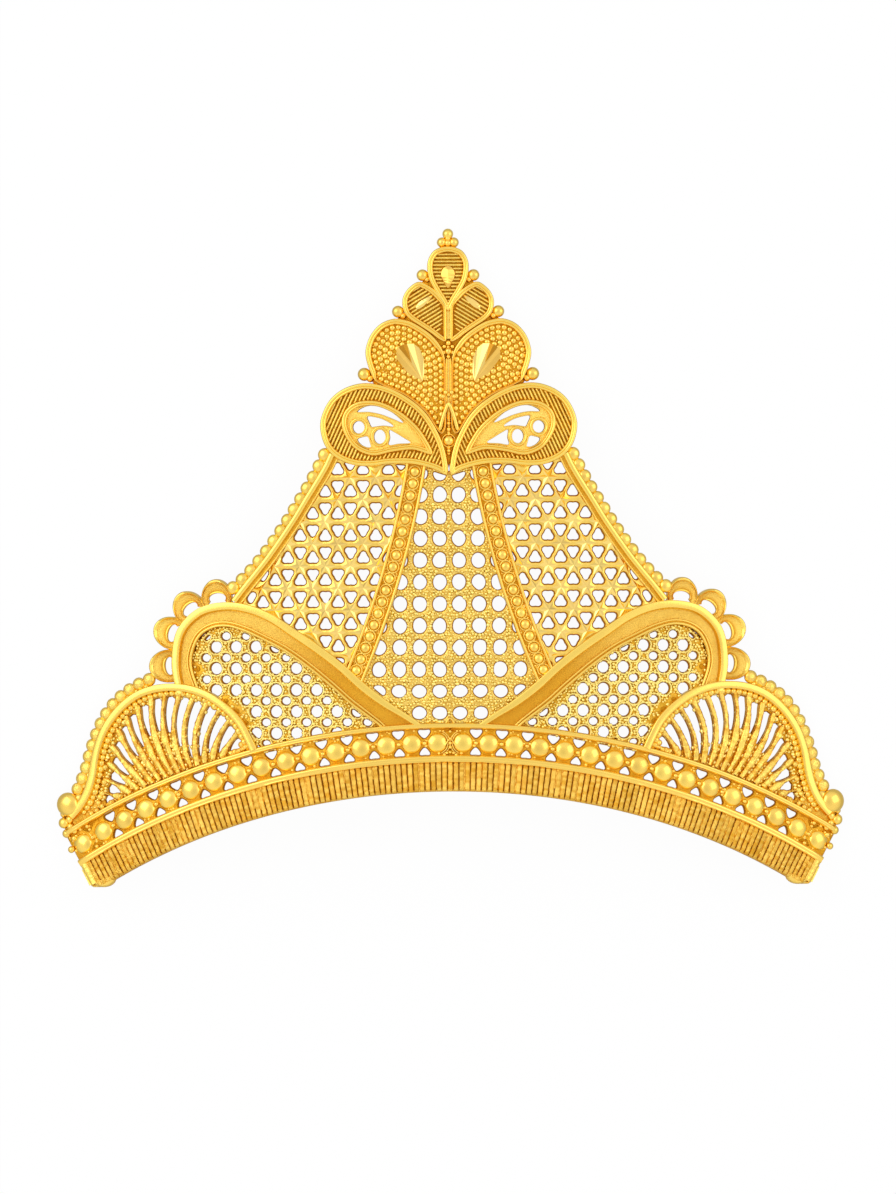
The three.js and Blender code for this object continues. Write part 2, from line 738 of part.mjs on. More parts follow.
function addLattice(end, side) {
  const { firstX, pitchX, firstY, pitchY, hole, small, depth } = lattice;
  const region = [
    ...arc(upperRail.inner + gap, 4.7, 13.9, 4),
    ...smooth(paths.fanFrame, 12).reverse().slice(1, 4),
    ...toPoints(paths.latticeOuter),
  ];
  const borders = outlinesOn(1, "upperRail", "scroll", "fanFrame");
  const openings = (shift, radius, sides) => ({
    places: grid(10, 6, (column, row) => [firstX + (column + shift) * pitchX, firstY + (row + shift) * pitchY]),
    radius,
    holeAt: ({ x, y }, fits) => ellipse(x, y, fits, fits, 0, sides),
  });
  const flat = mesh(region, depth, borders, openings(0, hole, 6), openings(0.5, small, 4));
  add("lattice_" + end, turnedOut(flat.scale(side, 1, 1)), "satin");
}

function addChannel(end, side) {
  const line = mirror(side, channelLine.getPoints(10));
  const pocket = ribbon(line, channel.width - 2 * channel.rim);
  const strip = tray(ribbon(line, channel.width), pocket, channel);
  add("bead_channel_" + end, clearOf(strip, outlinesOn(side, "scroll", "crestLeaf")), "satin");
  const thread = new THREE.SplineCurve(mirror(side, toPoints(paths.channelBeads)));
  add("channel_beads_" + end, beadString(thread, channelBeads, smallBead), "polished");
}

function addSideEdge(end, side) {
  const rail = plate(mirror(side, outlines.sideRail), 0, sideRail.depth);
  add("side_rail_" + end, clearOf(rail, outlinesOn(side, "scroll", "crestLeaf")), "polished");
  const beads = new THREE.SplineCurve(mirror(side, toPoints(paths.sideBeads)));
  add("side_beads_" + end, beadString(beads, sideBeads, smallBead), "polished");
}

function addCrestLeaf(end, side) {
  const outline = mirror(side, outlines.crestLeaf);
  const inner = mirror(side, smooth(paths.paisley, 22));
  const leaf = tray(outline, offset(outline, -crestLeaf.rim), crestLeaf);
  add("crest_leaf_" + end, clearOf(leaf, [inner]), "satin");
  const openings = paisleyHoles.map(({ x, y, halfX, halfY, tilt }) =>
    ellipse(side * x, y, halfX, halfY, side * tilt, 8),
  );
  const plaque = pierce(plate(inner, 0, paisley.depth), openings);
  const pocket = plate(offset(inner, -paisley.rim), paisley.floor, cutter.high);
  add("paisley_" + end, cut(plaque, pocket), "polished");
}

function addLobe(end, side) {
  const outline = mirror(side, smooth(paths.crestLobe, 24));
  add("crest_lobe_" + end, tray(outline, offset(outline, -crestLobe.rim), crestLobe), "satin");
  const { depth, bevel } = lobeStone;
  const shape = new THREE.Shape(offset(mirror(side, toPoints(paths.lobeStone)), -bevel));
  const cutStone = { depth: depth - 2 * bevel, bevelThickness: bevel, bevelSize: bevel, bevelSegments: 1 };
  const stone = closed(new THREE.ExtrudeGeometry(shape, cutStone));
  stone.translate(0, 0, crestLobe.floor + gap + bevel);
  add("lobe_stone_" + end, stone, "polished");
}

function addUpperLeaf(end, side) {
  const outline = mirror(side, smooth(paths.upperLeaf, 22));
  add("upper_leaf_" + end, tray(outline, offset(outline, -upperLeaf.rim), upperLeaf), "satin");
}

function addCrestMiddle() {
  const { bossRadius, bossTop, bossY, depth } = stem;
  const half = toPoints(paths.stemSide);
  const post = plate([...half, ...mirror(-1, half.toReversed())], 0, depth);
  const boss = new THREE.CylinderGeometry(bossTop, bossRadius, depth, 12).rotateX(Math.PI / 2);
  add("crest_stem", join(post, closed(boss).translate(0, bossY, depth / 2)), "polished");

  const side = smooth(paths.topDropSide, 12);
  const drop = [...side, ...mirror(-1, side.slice(1, -1).reverse())];
  add("top_drop", tray(drop, offset(drop, -topDrop.rim), topDrop), "satin");

  const { topY, topRadius, lowY, lowRadius, spread, height } = finial;
  const low = [-spread, 0, spread].map((x) => ball(x, lowY, height, lowRadius, [8, 5]));
  add("finial", join(ball(0, topY, height, topRadius), ...low), "polished");
}

addBand();
addCentreBoss();
addCentreMesh();
addCrestMiddle();
for (const [end, side] of Object.entries(pairs)) {
  addBandBalls(end, side);
  addFan(end, side);
  addScroll(end, side);
  addLattice(end, side);
  addStarMesh(end, side);
  addChannel(end, side);
  addSideEdge(end, side);
  addCrestLeaf(end, side);
  addLobe(end, side);
  addUpperLeaf(end, side);
  for (const { name, x, y, radius } of knobs) {
    add(name + "_" + end, ball(side * x, y, radius, radius, [8, 5]), "polished");
  }
}

// ---------------------------------------------------------------- at rest on its back

// The crown lies face up: its end balls and its finial touch the surface.
function restTilt() {
  const endAngle = endBall.x / brow.radius;
  const endHeight = (brow.radius + endBall.height - brow.neutral) * Math.cos(endAngle) - brow.radius;
  const drop = finial.height - brow.neutral - endHeight;
  const reach = finial.topY - endBall.y;
  const lift = endBall.radius - finial.topRadius;
  return Math.atan2(drop, reach) + Math.asin(lift / Math.hypot(drop, reach));
}

crown.rotation.x = -restTilt();
crown.updateMatrixWorld(true);
const extent = new THREE.Box3().setFromObject(crown, true);
const middle = extent.getCenter(new THREE.Vector3());
crown.position.set(-middle.x, -middle.y, -extent.min.z);

const bridalCrown = new THREE.Group();
bridalCrown.add(crown);

export default bridalCrown;
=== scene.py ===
"""Bridal crown: the worked gold of a filigree brow crown, laid on its back.

Every piece is drawn flat in millimetres, as a goldsmith lays it out: u runs along the brow, v up
the crown and w out of its face. worn() bends the drawing round the brow and lays it down.
"""

import json
import math

import bpy
import numpy as np
from mathutils import Matrix, Vector
from mathutils.geometry import delaunay_2d_cdt

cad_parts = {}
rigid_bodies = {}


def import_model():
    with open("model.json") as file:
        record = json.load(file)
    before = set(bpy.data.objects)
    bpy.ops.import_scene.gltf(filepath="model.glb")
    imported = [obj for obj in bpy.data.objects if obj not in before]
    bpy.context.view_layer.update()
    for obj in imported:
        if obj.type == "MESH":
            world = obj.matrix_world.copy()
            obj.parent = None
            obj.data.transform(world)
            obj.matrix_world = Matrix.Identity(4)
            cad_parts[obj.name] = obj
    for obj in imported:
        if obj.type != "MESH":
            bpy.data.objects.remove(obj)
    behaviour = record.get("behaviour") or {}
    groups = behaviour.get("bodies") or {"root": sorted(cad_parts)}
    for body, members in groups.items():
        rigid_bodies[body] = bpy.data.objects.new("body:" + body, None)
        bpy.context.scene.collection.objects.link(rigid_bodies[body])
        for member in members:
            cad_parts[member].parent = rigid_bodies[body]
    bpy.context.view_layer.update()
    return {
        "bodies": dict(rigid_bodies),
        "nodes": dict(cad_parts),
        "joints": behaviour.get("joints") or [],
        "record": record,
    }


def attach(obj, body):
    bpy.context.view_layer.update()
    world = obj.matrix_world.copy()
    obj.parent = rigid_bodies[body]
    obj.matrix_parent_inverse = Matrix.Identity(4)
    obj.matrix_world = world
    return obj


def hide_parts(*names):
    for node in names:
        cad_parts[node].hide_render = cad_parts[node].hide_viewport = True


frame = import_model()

bl_info = {
    "name": "Bridal Crown",
    "version": (1, 0, 0),
    "blender": (4, 5, 0),
    "location": "3D View > Sidebar > Crown",
    "description": "Builds the gold surfaces of a filigree brow crown round its packed solids",
    "category": "Object",
}

MM = 0.001

# ------------------------------------------------------------------ the lie of the crown

# The flat on the back of the ribbed band, and how far up the crown it stands, say how the crown lies.
BAND_BACK = frame["record"]["mounts"][0]
BACK_HEIGHT = 18.3
# The solids are bent round the brow in flat facets, and keep their drawn lengths at a neutral height.
BROW_RADIUS = 150.0
HALF_FACET = math.radians(3.2)
NEUTRAL = 1.2
# The worked gold bends smoothly, midway between the folds and the middles of those facets.
SETTLE = 0.12
TILT = math.atan2(-BAND_BACK["axis"][1], -BAND_BACK["axis"][2])
BACK_DEPTH = BROW_RADIUS * (math.cos(HALF_FACET) - 1) - NEUTRAL


def laid(v, n):
    """World y and z, in millimetres, of a height up the crown and a depth out of its face."""
    return v * math.cos(TILT) + n * math.sin(TILT), n * math.cos(TILT) - v * math.sin(TILT)


BACK_Y, BACK_Z = laid(BACK_HEIGHT, BACK_DEPTH)
SHIFT_Y = BAND_BACK["pos_m"][1] / MM - BACK_Y
SHIFT_Z = BAND_BACK["pos_m"][2] / MM - BACK_Z


def worn(points):
    """Flat points, in millimetres, bent round the brow and laid down, in metres."""
    u, v, w = np.asarray(points, float).T
    reach = BROW_RADIUS + w - NEUTRAL - SETTLE
    y, z = laid(v, reach * np.cos(u / BROW_RADIUS) - BROW_RADIUS)
    return np.column_stack((reach * np.sin(u / BROW_RADIUS), y + SHIFT_Y, z + SHIFT_Z)) * MM


# ------------------------------------------------------------------ drawing: the right-hand side

# The band runs in arcs round one centre below the crown. Its edges are given by their radii, and
# places along it by their degrees from the middle. Towards its ends the ribs are cut off level.
BAND_CENTRE = -106.8
RIB_EDGES = (123.0, 128.1)
RIB_FOOT = 0.16
LOWER_RAIL = (127.85, 129.15)
UPPER_RAIL = (133.6, 134.6)
BAND_END = 30.3
BALL_RING = 131.2
BALL_STEP = 1.895
BALLS_A_SIDE = 16

# The three pierced patterns: where they begin, and their steps across and up.
LATTICE_START, LATTICE_STEP = (12.2, 26.1), (3.48, 3.64)
STAR_START, STAR_STEP = (10.25, 69.05), (4.31, -3.72)
MIDDLE_START, MIDDLE_STEP = (0, 29.4), (3.45, 3.67)
# The lattice's openings stay closed beyond this place by the hook, and this near to the fan's frame.
HOOK_SIDE = 41.9
FAN_MARGIN = 1.15

# Sections across the scroll frame, from the fan, over the hook and down to the tail, which runs in
# under the upper rail.
SCROLL = [
    dict(outer=(46.8, 33.0), inner=(42.3, 32.0)),
    dict(outer=(47.6, 38.0), inner=(44.1, 37.6)),
    dict(outer=(46.6, 43.5), inner=(43.2, 41.6)),
    dict(outer=(43.0, 47.1), inner=(41.2, 43.5)),
    dict(outer=(38.3, 48.2), inner=(38.3, 44.1)),
    dict(outer=(34.0, 47.7), inner=(35.0, 43.3)),
    dict(outer=(30.0, 46.1), inner=(31.5, 41.7)),
    dict(outer=(26.0, 43.5), inner=(28.0, 39.9)),
    dict(outer=(22.0, 40.8), inner=(24.0, 37.1)),
    dict(outer=(18.0, 37.7), inner=(20.0, 33.8)),
    dict(outer=(14.2, 34.3), inner=(17.0, 31.1)),
    dict(outer=(10.2, 31.2), inner=(14.3, 29.1)),
    dict(outer=(7.0, 29.1), inner=(12.5, 27.8)),
    dict(outer=(4.8, 27.5), inner=(11.7, 27.1)),
]

# Openings of the fan from the inner end: tip by the frame, a pull that bends it, its line's foot on
# the rail, and how far down from the tip it is open. The ribs fill the room between them.
FAN_SLOTS = [
    dict(tip=(35.9, 24.7), pull=(36.95, 23.85), foot=(38.3, 22.3), opened=0.7),
    dict(tip=(37.3, 26.9), pull=(39.2, 24.4), foot=(40.0, 21.8), opened=0.82),
    dict(tip=(38.8, 28.8), pull=(41.55, 25.25), foot=(41.4, 21.4), opened=0.85),
    dict(tip=(40.7, 30.3), pull=(43.55, 25.7), foot=(42.7, 20.95), opened=0.9),
    dict(tip=(43.1, 31.4), pull=(46.05, 25.97), foot=(43.9, 20.55), opened=0.88),
    dict(tip=(45.5, 31.9), pull=(48.2, 26.05), foot=(45.0, 20.2), opened=0.72),
    dict(tip=(48.0, 32.0), pull=(49.75, 26.0), foot=(46.1, 19.8), opened=0.5),
    dict(tip=(50.4, 31.7), pull=(51.2, 25.55), foot=(47.2, 19.4), opened=0.44),
    dict(tip=(52.8, 30.6), pull=(52.65, 24.9), foot=(48.3, 18.95), opened=0.42),
    dict(tip=(55.0, 29.0), pull=(53.8, 23.95), foot=(49.4, 18.5), opened=0.5),
    dict(tip=(56.6, 27.0), pull=(55.0, 22.6), foot=(50.6, 18.0), opened=0.52),
    dict(tip=(57.8, 24.4), pull=(55.7, 21.4), foot=(51.9, 17.5), opened=0.52),
    dict(tip=(58.3, 21.7), pull=(56.55, 19.65), foot=(53.3, 16.9), opened=0.54),
    dict(tip=(58.9, 19.1), pull=(57.0, 18.15), foot=(54.6, 16.3), opened=0.58),
    dict(tip=(59.3, 16.85), pull=(57.9, 16.45), foot=(56.0, 15.6), opened=0.55),
    dict(tip=(59.9, 14.95), pull=(58.85, 14.85), foot=(57.5, 14.9), opened=0.55),
]

# Cupped rings outside the scroll: centre, direction they face, reach and half width.
SCALLOPS = [
    dict(centre=(39.8, 48.8), facing=86, reach=3.3, half=2.65),
    dict(centre=(44.6, 47.0), facing=52, reach=3.3, half=2.75),
    dict(centre=(47.75, 43.0), facing=18, reach=3.4, half=2.75),
    dict(centre=(48.3, 37.5), facing=-3, reach=3.6, half=2.8),
]

# Single beads on the crest's outline, each with the small grain that seats it.
KNOBS = {
    "knob_low": dict(bead=(14.2, 86.4), radius=1.12, grain=(13.2, 85.7), small=0.66),
    "knob_mid": dict(bead=(8.45, 96.9), radius=1.02, grain=(7.6, 96.2), small=0.6),
    "knob_high": dict(bead=(4.3, 103.0), radius=1.0, grain=(3.55, 102.3), small=0.55),
}

# Lines and outlines, given by points that a smooth curve runs through.
FAN_FRAME = [(33.3, 23.3), (34.2, 25.2), (35.7, 27.9), (38.0, 30.3), (41.5, 32.6), (45.5, 33.8),
             (50.0, 33.75), (54.0, 32.5), (57.4, 29.9), (59.9, 26.6), (61.3, 23.1), (62.2, 18.7),
             (63.2, 15.9), (64.6, 13.7), (66.1, 12.1)]
FAN_BEADS = [(65.2, 16.7), (63.8, 19.7), (63.0, 22.4), (61.9, 25.4), (60.5, 28.3), (58.7, 30.8), (56.6, 32.7),
             (54.2, 34.2), (51.9, 35.2)]
END_GRAINS = [dict(at=(67.8, 11.0), radius=0.95), dict(at=(66.7, 11.6), radius=0.7),
              dict(at=(67.3, 9.2), radius=0.75), dict(at=(66.4, 6.5), radius=0.6),
              dict(at=(65.8, 9.7), radius=0.55), dict(at=(65.9, 8.4), radius=0.45),
              dict(at=(64.9, 15.2), radius=0.85), dict(at=(65.4, 14.0), radius=0.6),
              dict(at=(65.8, 12.3), radius=0.6), dict(at=(66.6, 10.4), radius=0.6),
              dict(at=(67.9, 12.5), radius=0.55)]
BAND_FOOT = [(64.0, 3.2), (63.4, 2.0), (62.7, 1.05), (61.8, 0.45), (60.7, 0.16), (59.6, 0.35),
             (58.7, 0.95), (58.3, 1.9)]
SIDE_RAIL = [(36.6, 48.4), (34.6, 50.9), (30.65, 55.7), (26.6, 61.4), (24.35, 65.0), (21.1, 70.2),
             (19.7, 73.0)]
SIDE_BEADS = [(36.9, 50.6), (35.9, 51.4), (33.2, 54.1), (30.6, 57.3), (28.1, 60.8), (25.1, 65.5),
              (22.85, 69.3), (21.0, 72.9)]
CHANNEL = [(16.2, 35.4), (8.4, 53.3), (5.5, 71.4)]
CREST_LEAF = [(0.3, 69.4), (2.4, 70.35), (6, 71.25), (10, 71.3), (13, 70.95), (16, 71.15), (18.9, 72.35),
              (20.8, 74.4), (21.6, 77.2), (21.3, 79.6), (19.9, 82.2), (17.6, 84.0), (14.5, 84.9),
              (11, 84.5), (7.3, 82.8), (3.9, 80.0), (1.5, 76.0), (0.35, 72.3)]
PAISLEY = [(2.7, 72.9), (6, 73.65), (9.5, 73.3), (12.7, 72.7), (15.6, 73.8), (17.3, 75.9), (18, 78.2),
           (17.3, 80.4), (15.2, 81.8), (12, 81.9), (9, 80.7), (6.4, 78.8), (4.3, 76.4)]
CREST_LOBE = [(0.5, 77.3), (1.5, 76.4), (3.9, 80.0), (7.3, 82.8), (11, 84.5), (12.4, 85.4), (13.3, 87.2),
              (13.9, 89.5), (13.75, 91.2), (12.9, 93.2), (11.3, 94.9), (9.2, 95.7), (7.2, 95.5),
              (5.6, 94.9), (3.2, 93.3), (1.6, 91.6), (0.7, 89.6), (0.45, 87), (0.45, 83), (0.4, 80)]
LOBE_STONE = [(4.25, 85.25), (4.05, 86.6), (4.2, 89.1), (4.95, 90.8), (5.8, 91.55), (7.45, 91.55),
              (8.5, 90.75), (8.65, 88.95), (6.8, 86.55)]
UPPER_LEAF = [(0.35, 91.9), (0.3, 94.2), (0.3, 96.5), (0.45, 98.0), (1.6, 99.9), (3.3, 101.3),
              (5.0, 101.9), (6.6, 100.85), (7.5, 99.5), (7.7, 98.1), (7.3, 96.6), (6.3, 95.5),
              (4.8, 94.5), (3.0, 93.3), (1.4, 92.1)]
TOP_DROP = [(0, 96.9), (-1.3, 98.9), (-2.3, 100.5), (-3.15, 102.2), (-3.5, 104.2), (-3.2, 105.9),
            (-2.1, 107.3), (0, 107.85), (2.1, 107.3), (3.2, 105.9), (3.5, 104.2), (3.15, 102.2),
            (2.3, 100.5), (1.3, 98.9)]

# Half of the plate that backs the crest, from its foot to its tip.
CREST_GROUND = [(0, 70.6), (0.8, 73.5), (2.0, 76.4), (4.2, 79.3), (7, 81.8), (10, 83.6), (12.9, 84.9),
                (13.4, 86.6), (12.8, 88), (13, 91), (12, 93.2), (9, 94.8), (8.2, 96.5), (7.2, 96.6),
                (6.9, 98.4), (6, 100.4), (4.6, 101.5), (3.8, 102.7), (3.0, 103.2), (2.6, 106),
                (1.4, 107.6), (0.9, 108.5), (0, 109)]

# Openings of the paisley: two rings, and leaf-shaped slots between them.
PAISLEY_RINGS = [dict(centre=(15.15, 77.5), half=(1.02, 1.05)), dict(centre=(11.6, 75.9), half=(1.0, 1.2))]
PAISLEY_SLOTS = [
    [(15.4, 80.1), (14.1, 80.95), (12.4, 81.1), (10.6, 80.6), (9.0, 79.6), (7.6, 78.2), (9.3, 78.85),
     (11.2, 79.6), (13.3, 80.05)],
    [(13.7, 79.3), (12.2, 79.15), (10.6, 78.6), (9.2, 77.6), (10.9, 77.75), (12.3, 77.6), (13.0, 77.55),
     (13.4, 78.3)],
    [(10.0, 77.0), (8.9, 76.5), (7.6, 75.7), (6.4, 74.85), (8.4, 74.7), (10.1, 74.5), (9.9, 75.7)],
    [(15.4, 75.5), (14.5, 75.85), (13.6, 75.9), (13.25, 74.9), (13.1, 74.15), (14.0, 74.2), (14.9, 74.7)],
]

CENTRE_MESH = [(0, 27.0), (6.2, 27.4), (9.4, 29.7), (14.2, 33.6), (16.2, 35.6), (12.55, 43.4),
               (9.7, 51.6), (7.4, 61), (5.6, 71.5), (3, 71), (0, 70)]
STAR_MESH = [(16.2, 35.6), (12.55, 43.4), (9.7, 51.6), (7.4, 61), (5.6, 71.6), (9, 71.9),
             (13, 71.5), (17, 72.1), (19.5, 73.1), (21.3, 69.0), (23.5, 65.3), (25.9, 61.5), (28.3, 58.2),
             (33.2, 52.2), (36.1, 48.0), (31.5, 45.8), (27, 43.4), (23, 40.6), (19, 37.6)]
LATTICE = [(8.6, 27.2), (15.5, 26.05), (22, 24.7), (31.5, 22.8), (34, 25.3), (37.7, 29.2), (42, 32.3),
           (44.2, 33.6), (44.4, 38), (43.4, 41.6), (41.2, 43.7), (38.2, 44.5), (34.9, 43.7),
           (31.3, 42), (27.8, 40.2), (23.8, 37.4), (19.8, 34.1), (16.8, 31.3), (13.4, 28.8)]


# ------------------------------------------------------------------ lines and outlines


def along(points, closed):
    """Unit direction of travel at each point of a line."""
    if closed:
        steps = np.roll(points, -1, 0) - np.roll(points, 1, 0)
    else:
        steps = np.gradient(points, axis=0)
    return steps / np.maximum(np.linalg.norm(steps, axis=1, keepdims=True), 1e-9)


def leftward(points, closed):
    """Unit direction to the left of travel at each point."""
    heading = along(points[:, :2], closed)
    return np.column_stack((-heading[:, 1], heading[:, 0]))


def beside(points, distance, closed=False):
    """The line that runs a distance to the left of another."""
    return points[:, :2] + leftward(points, closed) * distance


def even(line, step, closed=False, count=None):
    """Points at even steps along a line."""
    line = np.vstack((line, line[:1])) if closed else np.asarray(line, float)
    travel = np.concatenate(([0], np.cumsum(np.linalg.norm(np.diff(line, axis=0), axis=1))))
    count = count or max(2, round(travel[-1] / step))
    stops = np.linspace(0, travel[-1], count + 1)
    found = np.column_stack([np.interp(stops, travel, line[:, axis]) for axis in range(line.shape[1])])
    return found[:-1] if closed else found


def smooth(points, step, closed=False):
    """An even line that curves smoothly through its points."""
    points = np.array(points, float)
    if closed:
        ring = np.vstack((points[-1:], points, points[:2]))
    else:
        ring = np.vstack((2 * points[0] - points[1], points, 2 * points[-1] - points[-2]))
    share = np.linspace(0, 1, 12, endpoint=False)[:, None]
    runs = []
    for a, b, c, d in zip(ring, ring[1:], ring[2:], ring[3:]):
        bend = (2 * a - 5 * b + 4 * c - d) * share**2 + (3 * b - a - 3 * c + d) * share**3
        runs.append((2 * b + (c - a) * share + bend) / 2)
    if not closed:
        runs.append(points[-1:])
    return even(np.vstack(runs), step, closed)


def outlined(points, step):
    """A smooth closed outline that runs anticlockwise."""
    return facing(smooth(points, step, True), 1)


def bezier(points, step):
    """An even line along a quadratic curve with three control points."""
    a, b, c = np.array(points, float)
    share = np.linspace(0, 1, 60)[:, None]
    return even(a * (1 - share) ** 2 + 2 * b * share * (1 - share) + c * share**2, step)


def on_band(radius, degrees):
    """Points on an arc of the band."""
    angle = np.radians(degrees)
    return np.column_stack((radius * np.sin(angle), BAND_CENTRE + radius * np.cos(angle)))


def band_arc(radius, start, end):
    """Points every half degree along an arc of the band."""
    count = max(2, round(abs(end - start) * 2))
    return on_band(radius, np.linspace(start, end, count + 1))


def ring(centre, half, count=24):
    """A closed ellipse with its half width and half height."""
    turn = np.linspace(0, 2 * math.pi, count, endpoint=False)
    return np.column_stack((centre[0] + half[0] * np.cos(turn), centre[1] + half[1] * np.sin(turn)))


def axes(degrees):
    """Unit directions along and across a line that leans from level by so many degrees."""
    lean = math.radians(degrees)
    return np.array(((math.cos(lean), math.sin(lean)), (-math.sin(lean), math.cos(lean))))


def area(outline):
    """Area inside a closed outline, below zero where it runs clockwise."""
    u, v = outline[:, 0], outline[:, 1]
    return float(np.sum(u * np.roll(v, -1) - np.roll(u, -1) * v)) / 2


def facing(outline, turn):
    """The outline, running anticlockwise for turn 1 and clockwise for -1."""
    return outline if area(outline) * turn > 0 else outline[::-1]


def nearest(outline, points):
    """Distance to a closed outline and the nearest place on it, for each point."""
    start, step = outline, np.roll(outline, -1, 0) - outline
    reach = points[:, None, :] - start[None]
    share = np.clip((reach * step).sum(2) / np.maximum((step**2).sum(1), 1e-12), 0, 1)
    places = start + step * share[..., None]
    gaps = np.linalg.norm(points[:, None, :] - places, axis=2)
    best = gaps.argmin(1)
    rows = np.arange(len(points))
    return gaps[rows, best], places[rows, best]


def inside(outlines, points):
    """Whether each point lies inside a closed outline, and outside any holes that follow it."""
    loops = outlines if isinstance(outlines, list) else [outlines]
    u, v = points[:, 0][:, None], points[:, 1][:, None]
    start, end = np.vstack(loops), np.vstack([np.roll(loop, -1, 0) for loop in loops])
    level = (start[:, 1] > v) != (end[:, 1] > v)
    rise = np.where(np.abs(end[:, 1] - start[:, 1]) < 1e-12, 1e-12, end[:, 1] - start[:, 1])
    crossing = u < start[:, 0] + (end[:, 0] - start[:, 0]) * (v - start[:, 1]) / rise
    return (level & crossing).sum(1) % 2 == 1


def inset(outline, distance, step=None):
    """A closed outline moved inwards, without the points that tight corners crowd."""
    outline = facing(outline, 1)
    distance = np.broadcast_to(distance, len(outline))
    moved = beside(outline, distance[:, None], True)
    gaps, _ = nearest(outline, moved)
    kept = moved[(gaps > distance * 0.93) & inside(outline, moved)]
    return even(kept, step, True) if step and len(kept) > 2 else kept


def mirrored(outline):
    """The outline on the other side of the crown's middle."""
    return np.asarray(outline, float)[::-1] * (-1, 1)


# ------------------------------------------------------------------ metalwork

FINISHES = ("polished_gold", "satin_gold", "matt_gold", "cut_gold", "grained_gold")
POLISHED, SATIN, MATT, CUT, GRAINED = range(5)
SIDES = {"left": -1, "right": 1}
# Edges that turn by more than this many degrees are shown sharp.
SHARP_ANGLE = 66
# Spacing of the points inside a sheet, which let it bend round the brow.
SPREAD = 2.2


